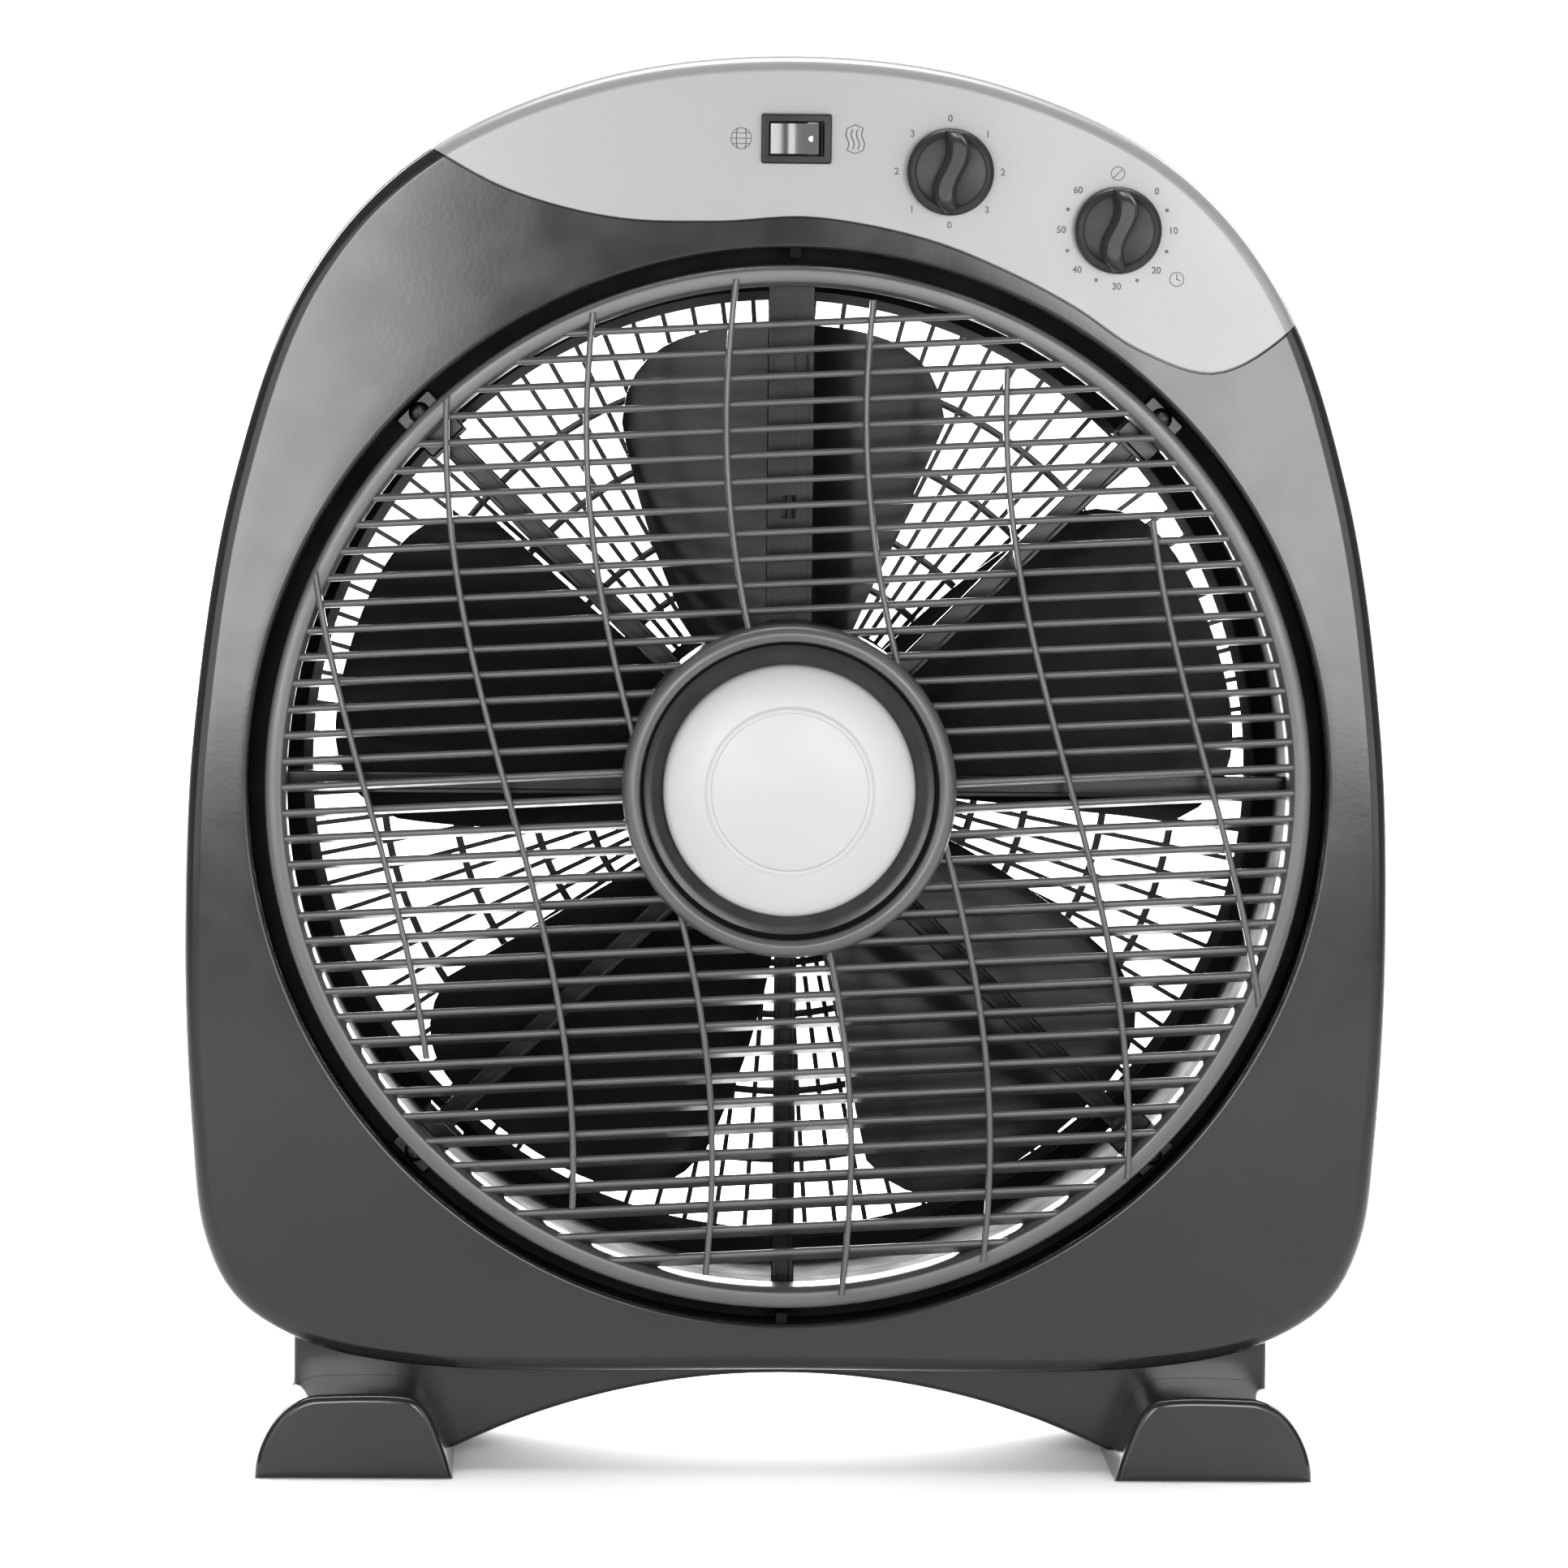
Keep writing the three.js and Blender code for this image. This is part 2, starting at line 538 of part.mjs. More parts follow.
function makeRearGrille() {
  const rim = tube(REAR_GRILLE_R, REAR_RIM_INNER_R - 2, REAR_GRILLE_FRONT_Y, BACK_Y);
  const disc = rod(REAR_DISC_R, REAR_GRILLE_FRONT_Y, BACK_Y, [0, 0], 32);
  const rings = REAR_RING_RADII.map((radius) => (
    tube(radius + 1, radius - 1, REAR_GRILLE_FRONT_Y + 0.3, REAR_SPOKE_FRONT_Y - 0.2, [0, 0], 32)
  ));
  const spokes = [];
  for (let i = 0; i < REAR_SPOKES; i += 1) {
    const isMain = i % (REAR_SPOKES / REAR_MAIN_SPOKES) === 0;
    const frontY = isMain ? REAR_GRILLE_FRONT_Y + 0.1 : REAR_SPOKE_FRONT_Y;
    const spoke = box(-0.9, 0.9, frontY, BACK_Y - 0.2, HUB_Z + REAR_DISC_R - 2, HUB_Z + REAR_RIM_INNER_R);
    spokes.push(turnAbout(spoke, (i * 360) / REAR_SPOKES));
  }
  let grille = union(rim, disc, ...rings, ...spokes);
  for (const at of rearGrilleScrewPoints()) {
    grille = grille.subtract(rod(SCREW_HOLE_R, REAR_GRILLE_FRONT_Y - 1, BACK_Y + 1, at, SCREW_STEPS));
  }
  for (const at of motorScrewPoints()) {
    grille = grille.subtract(rod(SCREW_HOLE_R, REAR_GRILLE_FRONT_Y - 1, BACK_Y + 1, at, SCREW_STEPS));
  }
  return grille;
}

// ---------------------------------------------------------------- grille bracket

function bracketScrewPoints() {
  return DIAGONALS.map((angle) => polar(BRACKET_SCREW_CIRCLE_R, angle));
}

function makeBracket() {
  const discR = BRACKET_DISC_R;
  const arms = [];
  for (let i = 1; i < ARM_COUNT; i += 1) {
    const arm = box(
      -ARM_WIDTH / 2, ARM_WIDTH / 2, BRACKET_FRONT_Y, BRACKET_BACK_Y, HUB_Z + discR - 3, HUB_Z + ARM_END_R,
    );
    arms.push(turnAbout(arm, (i * 360) / ARM_COUNT));
  }
  const padBlock = (backY, [innerR, outerR]) => (
    box(-PAD_HALF, PAD_HALF, PAD_FRONT_Y, backY, HUB_Z + innerR, HUB_Z + outerR)
  );
  const pads = DIAGONALS.map((angle) => {
    const pad = padBlock(BRACKET_FRONT_Y - GAP, PAD_R);
    const neck = padBlock(BRACKET_BACK_Y - 1, PAD_NECK_R);
    return turnAbout(pad.add(neck), angle);
  });
  const duct = box(
    -DUCT_WIDTH / 2, DUCT_WIDTH / 2, BRACKET_FRONT_Y, BRACKET_BACK_Y, HUB_Z + discR - 4, HUB_Z + ARM_END_R,
  );
  const channel = box(
    -4.4, 4.4, BRACKET_FRONT_Y - 1, BRACKET_BACK_Y - 1.6, HUB_Z + discR - 9, HUB_Z + TUNNEL_R + 1,
  );
  const channelExit = box(
    -3, 3, BRACKET_BACK_Y - 3, BRACKET_BACK_Y + 1, HUB_Z + DUCT_EXIT_R, HUB_Z + TUNNEL_R + 1,
  );
  const disc = rod(discR, BRACKET_BACK_Y - 3, BRACKET_BACK_Y, [0, 0], 40);
  let bracket = union(disc, duct, ...arms, ...pads).subtract(channel).subtract(channelExit);
  for (const at of bracketScrewPoints()) {
    bracket = bracket.subtract(rod(SCREW_HOLE_R, BRACKET_FRONT_Y - 5, BRACKET_BACK_Y, at, SCREW_STEPS));
  }
  for (const side of [-1, 1]) {
    bracket = bracket.subtract(
      rod(SCREW_HOLE_R, BRACKET_FRONT_Y, BRACKET_BACK_Y + 1, [side * GRILLE_MOTOR_EAR_X, 0], SCREW_STEPS),
    );
  }
  return bracket;
}

function makeDuctCover() {
  const cover = box(
    -DUCT_WIDTH / 2, DUCT_WIDTH / 2, BRACKET_FRONT_Y - 2, BRACKET_FRONT_Y - GAP,
    HUB_Z + DUCT_COVER_R[0], HUB_Z + DUCT_COVER_R[1],
  );
  const [wide, high] = DUCT_SLOT;
  const slots = DUCT_SLOTS_UP.map((up) => (
    box(-wide / 2, wide / 2, BRACKET_FRONT_Y - 4, BRACKET_FRONT_Y + 1, HUB_Z + up, HUB_Z + up + high)
  ));
  return cover.subtract(union(...slots));
}

function makeGrilleMotor() {
  const backY = BRACKET_BACK_Y - 3 - GAP;
  const can = rod(GRILLE_MOTOR_R, GRILLE_MOTOR_FRONT_Y, backY, [0, 0], 32);
  const ears = box(-34, 34, backY - 1.2, backY, HUB_Z - 5, HUB_Z + 5);
  const shaftBore = rod(GRILLE_SHAFT_R + 0.6, GRILLE_MOTOR_FRONT_Y - 1, GRILLE_MOTOR_FRONT_Y + 7, [0, 0], 16);
  let motor = can.add(ears).subtract(shaftBore);
  for (const side of [-1, 1]) {
    const ear = [side * GRILLE_MOTOR_EAR_X, 0];
    motor = motor.subtract(rod(SCREW_HOLE_R, backY - 3, backY + 1, ear, SCREW_STEPS));
  }
  return motor;
}

function makeGrilleMotorLead() {
  const path = new THREE.CatmullRomCurve3(LEAD_ROUTE.map(([y, up]) => new THREE.Vector3(0, y, HUB_Z + up)));
  const section = new THREE.Shape();
  section.absarc(0, 0, LEAD_R, 0, 2 * Math.PI);
  const sweep = { steps: 16, curveSegments: 4, bevelEnabled: false, extrudePath: path };
  return solid(new THREE.ExtrudeGeometry(section, sweep));
}

// ---------------------------------------------------------------- rotating grille

// Sideways offset of an S-shaped rib at a height above the axis; the shape maps
// onto itself when the grille makes half a turn.
function ribSway(up) {
  const fade = 1 - RIB_SWAY_FADE * Math.abs(up / GRILLE_INNER_R) ** 3;
  return -RIB_SWAY * Math.sin((Math.PI * up) / (2 * RIB_SWAY_UP)) * fade;
}

function makeRib(middleX) {
  const reach = Math.sqrt((GRILLE_INNER_R + 3) ** 2 - Math.min(Math.abs(middleX) + 8, 150) ** 2);
  const steps = 8;
  const left = [];
  const right = [];
  for (let i = 0; i <= steps; i += 1) {
    const up = reach * ((2 * i) / steps - 1);
    const x = middleX + ribSway(up);
    left.push([x - RIB_WIDTH / 2, up]);
    right.unshift([x + RIB_WIDTH / 2, up]);
  }
  return prism([...left, ...right], GRILLE_FRONT_Y - RIB_PROUD, SLAT_FRONT_Y - 0.2);
}

function makeSlat(up) {
  const halfWidth = Math.sqrt((GRILLE_INNER_R + 3) ** 2 - up ** 2);
  const tilt = SLAT_TILT_MIDDLE - (SLAT_TILT_CHANGE * up) / GRILLE_INNER_R;
  const slat = new THREE.BoxGeometry(2 * halfWidth, SLAT_DEPTH, SLAT_THICKNESS);
  slat.translate(0, SLAT_DEPTH / 2, 0).rotateX(THREE.MathUtils.degToRad(-tilt));
  return solid(slat.translate(0, SLAT_FRONT_Y + 0.3, HUB_Z + up));
}

function makeLouvreGrille() {
  const rim = tube(GRILLE_OUTER_R, GRILLE_INNER_R, GRILLE_FRONT_Y, GRILLE_BACK_Y);
  const mouth = rod(GRILLE_OUTER_R - 1, GRILLE_FRONT_Y - 2, GRILLE_BACK_Y + 2);
  const slats = [];
  const last = Math.floor((GRILLE_INNER_R - 4) / SLAT_PITCH);
  for (let i = -last; i <= last; i += 1) {
    slats.push(makeSlat(i * SLAT_PITCH));
  }
  const ribs = [];
  for (let i = 0; i < RIB_COUNT; i += 1) {
    ribs.push(makeRib((i - (RIB_COUNT - 1) / 2) * RIB_PITCH));
  }
  const louvres = union(...slats, ...ribs).intersect(mouth).subtract(rod(HUB_RING_R - 1, -80, 0, [0, 0], 32));
  const [discFrontY, discBackY] = HUB_DISC_Y;
  const bore = GRILLE_SHAFT_R + 0.6;
  const hub = turned([
    [bore, discFrontY], [HUB_RING_INNER_R, discFrontY], [HUB_RING_INNER_R, HUB_FRONT_Y + 1.5],
    [HUB_RING_INNER_R + 2.5, HUB_FRONT_Y], [HUB_RING_R - 2, HUB_FRONT_Y + 0.5], [HUB_RING_R, HUB_FRONT_Y + 3],
    [HUB_RING_R, -38], [HUB_RING_R - 2, -38], [HUB_RING_R - 2, discBackY], [8.5, discBackY],
    [8.5, discBackY + 2.2], [bore, discBackY + 2.2], [bore, discFrontY],
  ], [0, 0], 32);
  return turnAbout(union(rim, louvres, hub), -GRILLE_REST_TURN);
}

function makeHubCap() {
  return turned([
    [0, -60.4], [14, -60.1], [25, -59.3], [34, -57.4], [CAP_R, -54.6], [CAP_R, -50.4], [CAP_R - 1.6, -50.4],
    [CAP_R - 2, -53.6], [24, -57.4], [0, -58.4],
  ], [0, 0], 32);
}

// ---------------------------------------------------------------- impeller and motor

// A twisted blade: a thin box bent onto a helical surface.
function makeBlade(degrees) {
  const across = 6;
  const outward = 4;
  const geometry = new THREE.BoxGeometry(1, 1, 1, across, 1, outward);
  const position = geometry.attributes.position;
  for (let i = 0; i < position.count; i += 1) {
    const s = position.getX(i) + 0.5; // 0 at the leading edge, 1 at the trailing edge
    const side = position.getY(i) * 2; // -1 front face, 1 back face
    const t = position.getZ(i) + 0.5; // 0 at the root, 1 at the tip
    const tipR = BLADE_TIP_R - BLADE_TIP_ROUNDING * Math.abs(2 * s - 1) ** 5;
    const radius = THREE.MathUtils.lerp(BLADE_ROOT_R, tipR, t);
    const leading = THREE.MathUtils.lerp(...BLADE_LEADING_TURN, t);
    const turn = THREE.MathUtils.degToRad(degrees + THREE.MathUtils.lerp(leading, BLADE_TRAILING_TURN, s));
    const camber = BLADE_CAMBER * Math.sin(Math.PI * s) * t;
    const leadingY = THREE.MathUtils.lerp(...BLADE_LEADING_Y, t);
    const y = THREE.MathUtils.lerp(leadingY, BLADE_TRAILING_Y, s) + camber + side;
    position.setXYZ(i, radius * Math.sin(turn), y, HUB_Z + radius * Math.cos(turn));
  }
  return solid(geometry);
}

function makeImpeller() {
  const hub = turned([
    [SHAFT_R + GAP, -18], [IMPELLER_HUB_R - 4, -18], [IMPELLER_HUB_R, -15], [IMPELLER_HUB_R, 5.5],
    [IMPELLER_HUB_R - 2.4, 5.5], [IMPELLER_HUB_R - 2.4, -14.5], [9, -15], [9, 4], [SHAFT_R + GAP, 4],
    [SHAFT_R + GAP, -18],
  ], [0, 0], 24);
  const blades = [];
  for (let i = 0; i < BLADE_COUNT; i += 1) {
    blades.push(makeBlade((i * 360) / BLADE_COUNT));
  }
  const core = rod(IMPELLER_HUB_R - 1.4, -30, 20, [0, 0], 24);
  return union(hub, union(...blades).subtract(core));
}

function makeImpellerNut() {
  return tube(8.5, SHAFT_R + GAP, -22.6, -18.9, [0, 0], 12);
}

function makeShaft() {
  return rod(SHAFT_R, -23.4, 40, [0, 0], 16);
}

function makeRotor() {
  return tube(20, SHAFT_R + GAP, ROTOR_Y[0], ROTOR_Y[1], [0, 0], 24);
}

function makeStator() {
  return tube(MOTOR_R - 2, 21, ROTOR_Y[0] + 2, ROTOR_Y[1] - 2, [0, 0], 24);
}

function makeWinding() {
  return tube(32, 23.5, ROTOR_Y[1] - 2 + GAP, ROTOR_Y[1] + 4, [0, 0], 24);
}

function makeMotorCover(frontHalf) {
  const [openY, closedY] = frontHalf ? [ROTOR_Y[0] + 7.6, MOTOR_FRONT_Y] : [ROTOR_Y[0] + 8, MOTOR_BACK_Y];
  const into = frontHalf ? 1 : -1;
  const bushSeat = closedY + into * 7.4;
  const bore = BUSH_R + 0.4;
  let cover = turned([
    [bore, closedY], [MOTOR_R - 4, closedY], [MOTOR_R, closedY + into * 4], [MOTOR_R, openY],
    [MOTOR_R - 1.6, openY], [MOTOR_R - 1.6, closedY + into * 4], [MOTOR_R - 5, closedY + into * 1.6],
    [9, closedY + into * 1.6], [9, bushSeat], [bore, bushSeat], [bore, closedY],
  ], [0, 0], 24);
  if (!frontHalf) {
    for (const at of motorScrewPoints()) {
      cover = cover.subtract(rod(SCREW_HOLE_R, MOTOR_BACK_Y - 4, MOTOR_BACK_Y + 1, at, SCREW_STEPS));
    }
  }
  return cover;
}

function makeBush(y0) {
  return tube(BUSH_R, SHAFT_R + GAP, y0, y0 + BUSH_LENGTH, [0, 0], 16);
}

// ---------------------------------------------------------------- controls

function shaftedSwitch(at, bodySolid) {
  const bushing = rod(BUSHING_R, FRONT_Y - 0.6, FRONT_Y + 8, at, 16);
  return bodySolid.add(bushing).subtract(rod(CONTROL_SHAFT_R + 0.4, FRONT_Y - 2, FRONT_Y + 14, at, 16));
}

// Front of the switch bodies, just behind the shell wall under the panel.
const switchFrontY = FRONT_Y + WALL + PANEL_THICKNESS + 2 * GAP + 0.4;

function makeSpeedSwitch() {
  const [x, up] = SPEED_AT;
  const [wide, high] = SWITCH_HALF;
  const block = box(
    x - wide, x + wide, switchFrontY, switchFrontY + SWITCH_DEPTH, HUB_Z + up - high, HUB_Z + up + high,
  );
  return shaftedSwitch(SPEED_AT, block);
}

function makeTimer() {
  return shaftedSwitch(TIMER_AT, rod(TIMER_R, switchFrontY, switchFrontY + TIMER_DEPTH, TIMER_AT, 24));
}

function makeControlShaft(at) {
  return rod(CONTROL_SHAFT_R, FRONT_Y - 10, FRONT_Y + 12, at, 12);
}

// Knob: a round skirt and a raised S-shaped grip across it.
function makeKnob([x, up]) {
  const skirt = turned([
    [0, FRONT_Y - 7], [KNOB_R - 1.5, FRONT_Y - 7], [KNOB_R, FRONT_Y - 5], [KNOB_R, FRONT_Y - 0.7],
    [0, FRONT_Y - 0.7],
  ], [x, up], 20);
  const grip = [];
  const back = [];
  const steps = 8;
  for (let i = 0; i <= steps; i += 1) {
    const along = (KNOB_R - 1) * ((2 * i) / steps - 1);
    const lean = 1.8 * Math.sin((Math.PI * along) / (KNOB_R - 1));
    const half = 3.1 * Math.sqrt(Math.max(0.12, 1 - (along / KNOB_R) ** 2));
    grip.push([x + lean - half, up + along]);
    back.unshift([x + lean + half, up + along]);
  }
  const ridge = prism([...grip, ...back], KNOB_FRONT_Y, FRONT_Y - 6);
  const socket = rod(CONTROL_SHAFT_R + GAP, FRONT_Y - 10.4, FRONT_Y, [x, up], 12);
  return skirt.add(ridge).subtract(socket);
}

function makeRockerFrame() {
  const [x, up] = ROCKER_AT;
  const z = HUB_Z + up;
  const [wide, high] = ROCKER_BEZEL;
  const [holeWide, holeHigh] = ROCKER_HOLE;
  const bezel = box(x - wide / 2, x + wide / 2, FRONT_Y - 2.2, FRONT_Y - GAP, z - high / 2, z + high / 2);
  const inside = box(
    x - holeWide / 2 + GAP, x + holeWide / 2 - GAP, FRONT_Y - 1, FRONT_Y + 20,
    z - holeHigh / 2 + GAP, z + holeHigh / 2 - GAP,
  );
  const cavity = box(x - 8.5, x + 8.5, FRONT_Y - 5, FRONT_Y + 10, z - 5.4, z + 5.4);
  return bezel.add(inside).subtract(cavity);
}

// See-saw paddle, pressed in on the left at rest.
function makeRockerPaddle() {
  const [x, up] = ROCKER_AT;
  const profile = [[-7.6, 4.6], [0, 3.2], [7.6, 4.6], [7.2, -2], [0, -4.5], [-7.2, -2]]
    .map(([across, out]) => new THREE.Vector2(across, out));
  const geometry = new THREE.ExtrudeGeometry(new THREE.Shape(profile), { depth: 10, bevelEnabled: false });
  geometry.translate(0, 0, -5).scale(1, -1, 1);
  geometry.rotateZ(THREE.MathUtils.degToRad(-ROCKER_TILT));
  return solid(geometry.translate(x, ROCKER_PIVOT_Y, HUB_Z + up));
}

function makeCapacitor() {
  return box(...CAPACITOR.x, ...CAPACITOR.y, ...CAPACITOR.up.map((up) => HUB_Z + up));
}

// ---------------------------------------------------------------- assembly

place('front_shell', makeFrontShell(), darkGloss);
place('control_panel', makeControlPanel(), silverPlastic);
place('rear_shell', makeRearShell(), darkGloss);
place('rear_grille', makeRearGrille(), blackPlastic);
place('foot_left', makeFoot(-1), darkGloss);
place('foot_right', makeFoot(1), darkGloss);
place('cord_gland', makeCordGland(), blackPlastic);
placeFootScrews();
SHELL_SCREWS.forEach((at, index) => {
  screwAlongY(`shell_screw_${index + 1}`, at, SHELL_SCREW_SEAT_Y + GAP + SCREW_HEAD, 24, -1);
});
rearGrilleScrewPoints().forEach((at, index) => {
  screwAlongY(`rear_grille_screw_${index + 1}`, at, BACK_Y + GAP + SCREW_HEAD, 6, -1);
});
motorScrewPoints().forEach((at, index) => {
  screwAlongY(`motor_screw_${index + 1}`, at, BACK_Y + GAP + SCREW_HEAD, 6, -1);
});

place('grille_bracket', makeBracket(), blackPlastic);
place('duct_cover', makeDuctCover(), blackPlastic);
place('grille_motor', makeGrilleMotor(), steel);
place('grille_motor_lead', makeGrilleMotorLead(), leadPlastic);
bracketScrewPoints().forEach((at, index) => {
  screwAlongY(`bracket_screw_${index + 1}`, at, PAD_FRONT_Y - GAP - SCREW_HEAD, 7, 1);
});
[-1, 1].forEach((side, index) => {
  screwAlongY(`grille_motor_screw_${index + 1}`, [side * GRILLE_MOTOR_EAR_X, 0], BRACKET_FRONT_Y - 2.4, 4, 1);
});

place('motor_front_cover', makeMotorCover(true), steel);
place('motor_rear_cover', makeMotorCover(false), steel);
place('motor_stator', makeStator(), steel);
place('motor_winding', makeWinding(), copper);
place('motor_front_bush', makeBush(MOTOR_FRONT_Y + 0.4), bronze);
place('motor_rear_bush', makeBush(MOTOR_BACK_Y - 0.4 - BUSH_LENGTH), bronze);
place('motor_rotor', makeRotor(), steel);
place('motor_shaft', makeShaft(), steel);
place('impeller', makeImpeller(), smokePlastic);
place('impeller_nut', makeImpellerNut(), smokePlastic);

place('louvre_grille', makeLouvreGrille(), darkGloss);
place('hub_cap', makeHubCap(), whitePlastic);
place('grille_motor_shaft', rod(GRILLE_SHAFT_R, -49.6, -38.6, [0, 0], 12), steel);

place('capacitor', makeCapacitor(), whitePlastic);
place('speed_switch', makeSpeedSwitch(), blackPlastic);
place('speed_shaft', makeControlShaft(SPEED_AT), steel);
place('speed_knob', makeKnob(SPEED_AT), darkGloss);
place('timer', makeTimer(), steel);
place('timer_shaft', makeControlShaft(TIMER_AT), steel);
place('timer_knob', makeKnob(TIMER_AT), darkGloss);
place('rocker_frame', makeRockerFrame(), blackPlastic);
place('rocker_paddle', makeRockerPaddle(), blackPlastic);

export default fan;
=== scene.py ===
"""Looks of a box fan with a rotating louvre grille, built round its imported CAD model.

Sizes are millimetres in the model's frame: +Z up, the front faces -Y. "up" is the height
above the fan axis. MM turns them into metres when a mesh is made.
"""

import json
import math

import bmesh
import bpy
from mathutils import Matrix, Vector


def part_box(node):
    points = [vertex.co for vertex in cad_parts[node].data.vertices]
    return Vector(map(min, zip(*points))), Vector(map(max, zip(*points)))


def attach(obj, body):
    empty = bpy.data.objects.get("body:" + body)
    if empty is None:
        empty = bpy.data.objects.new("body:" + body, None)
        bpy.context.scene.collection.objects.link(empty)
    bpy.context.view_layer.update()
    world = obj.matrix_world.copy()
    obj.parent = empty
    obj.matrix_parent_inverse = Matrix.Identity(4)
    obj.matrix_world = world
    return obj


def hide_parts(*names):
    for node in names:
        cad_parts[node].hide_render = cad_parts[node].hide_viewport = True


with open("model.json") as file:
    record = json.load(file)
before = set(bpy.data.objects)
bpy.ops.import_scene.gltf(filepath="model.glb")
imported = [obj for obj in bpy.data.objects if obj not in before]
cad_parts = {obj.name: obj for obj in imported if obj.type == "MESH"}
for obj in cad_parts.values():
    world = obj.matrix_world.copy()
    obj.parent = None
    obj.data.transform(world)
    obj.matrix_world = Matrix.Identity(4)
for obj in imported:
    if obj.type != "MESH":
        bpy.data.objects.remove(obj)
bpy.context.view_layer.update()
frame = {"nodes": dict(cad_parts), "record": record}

# ---------------------------------------------------------------- sizes taken from the frame

MM = 0.001


def node_box(name):
    """Lowest and highest corner of a CAD node, in millimetres."""
    low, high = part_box(name)
    return low / MM, high / MM


def node_centre(name):
    low, high = node_box(name)
    return (low + high) / 2


HUB_Z = node_centre("motor_shaft").z
FRONT_Y = node_box("front_shell")[0].y
SPLIT_Y = node_box("front_shell")[1].y
BACK_Y = node_box("rear_shell")[1].y
GAP = 0.35
WALL = 3.0


def place_of(name):
    """(x, up) of the middle of a CAD node."""
    middle = node_centre(name)
    return middle.x, middle.z - HUB_Z


# ---------------------------------------------------------------- sizes of the visible shapes

OUTLINE = [
    (0, 225), (61.7, 217.3), (116.1, 192.5), (149.3, 155.2), (171.6, 92.9), (183.2, 17.7), (185.8, -45),
    (183.4, -108.4), (179.4, -140), (169.8, -159), (150, -172), (117, -179.7), (0, -181),
]
OUTLINE_STEPS = 320
FRONT_FILLET = 5
BACK_FILLET = 10
EDGE_STEPS = 9
FACE_SHARES = (0.2, 0.5, 0.8)
PANEL_EDGE = [
    (-125, 205), (-110.8, 195.7), (-87.2, 183.3), (-55.6, 175.2), (-23.8, 174.2), (5.3, 175.7), (40.4, 169.4),
    (66.7, 159.2), (86.5, 148.9), (106.2, 136.1), (129.8, 129.1), (150.6, 140.3), (166, 160),
]
PANEL_THICKNESS = 2.2
SEAM_WIDTH = 0.9
SEAM_DEPTH = 0.45

MOUTH_R = 166.4
MOUTH_EDGE = 1.4
TUNNEL_R = 158
TUNNEL_WALL = 3
SHELF_Y = -31
TAB_TURNS = (0.2, 180.2)

PEDESTAL_HALF = 152
PEDESTAL_FRONT_Y = -28
PEDESTAL_BOTTOM = 3.4 - HUB_Z
PEDESTAL_EDGE = 1.6
ARCH_HALF = 102
ARCH_RISE = 23.8
FOOT_PROFILE = [
    (102, 0), (162.8, 0), (162.4, 5), (160.6, 11), (157.4, 17), (152.6, 22.4), (146.5, 25.4), (140, 26),
    (119, 26), (113.6, 24.8), (109.8, 21), (106.4, 14), (103.6, 6),
]
FOOT_FILLET = 2.6
FOOT_HALF_DEPTH = 68

GRILLE_OUTER_R = 161.2
GRILLE_INNER_R = 154.6
GRILLE_FRONT_Y = -50
GRILLE_BACK_Y = -37
GRILLE_REST_TURN = 3
SLAT_PITCH = 7.95
SLAT_FRONT_Y = -49.2
SLAT_DEPTH = 10
SLAT_THICKNESS = 2.1
SLAT_TILT_MIDDLE = 12
SLAT_TILT_CHANGE = 11
RIB_PITCH = 43
RIB_COUNT = 7
RIB_WIDTH = 1.9
RIB_PROUD = 1.6
RIB_SWAY = 15.5
RIB_SWAY_UP = 108
RIB_SWAY_FADE = 0.18
HUB_RING_R = 51.4
HUB_RING_INNER_R = 45.9
HUB_FRONT_Y = -58
HUB_FLOOR_Y = -50
CAP_R = 38.8
CAP_CIRCLE_R = 25

BRACKET_FRONT_Y = -31
BRACKET_BACK_Y = -25
BRACKET_DISC_R = 40
ARM_WIDTH = 7
ARM_END_R = 157.2
DUCT_WIDTH = 14.4
DUCT_UP = (40, 155)
DUCT_SLOTS = ((-0.3, 86.3), (3.2, 130))
DUCT_SLOT_HALF = (2.3, 3.6)
PAD_FRONT_Y = -34
PAD_HALF = 7
PAD_UP = (149, 165.5)
NECK_UP = (148, 156.8)
BRACKET_SCREW_CIRCLE_R = 162
DIAGONALS = (45, 135, 225, 315)

BLADE_COUNT = 5
BLADE_ROOT_R = 26
BLADE_TIP_R = 142
BLADE_LEADING_TURN = (-37, -25)
BLADE_TRAILING_TURN = 23.5
BLADE_LEADING_Y = (4, 10)
BLADE_TRAILING_Y = -17
BLADE_CAMBER = 3.2
BLADE_TIP_ROUNDING = 20
BLADE_THICKNESS = 1.9
IMPELLER_HUB_R = 29
SHAFT_R = 4

REAR_GRILLE_R = 157.4
REAR_GRILLE_FRONT_Y = 42.8
REAR_RIM_INNER_R = 150.7
REAR_RING_RADII = (63.3, 79.9, 104.7, 126.7)
REAR_RING_HALF = 1.2
REAR_SPOKES = 96
REAR_SPOKE_HALF = 0.78
REAR_LIP = 3.3
REAR_DISC_R = 50
REAR_SCREW_CIRCLE_R = 154.2
MOTOR_SCREW_CIRCLE_R = 30

HANDLE_HALF = 50
HANDLE_UP = (174.5, 205.5)
HANDLE_DEPTH = 30

SPEED_AT = place_of("speed_knob")
TIMER_AT = place_of("timer_knob")
ROCKER_AT = place_of("rocker_frame")
KNOB_R = 13.3
DIAL_HOLE_R = 5.2
KNOB_FRONT_Y = node_box("speed_knob")[0].y
ROCKER_HALF = (10.75, 7.65)
ROCKER_HOLE_HALF = (9.7, 6.7)
ROCKER_TILT = 10
ROCKER_PIVOT_Y = -46

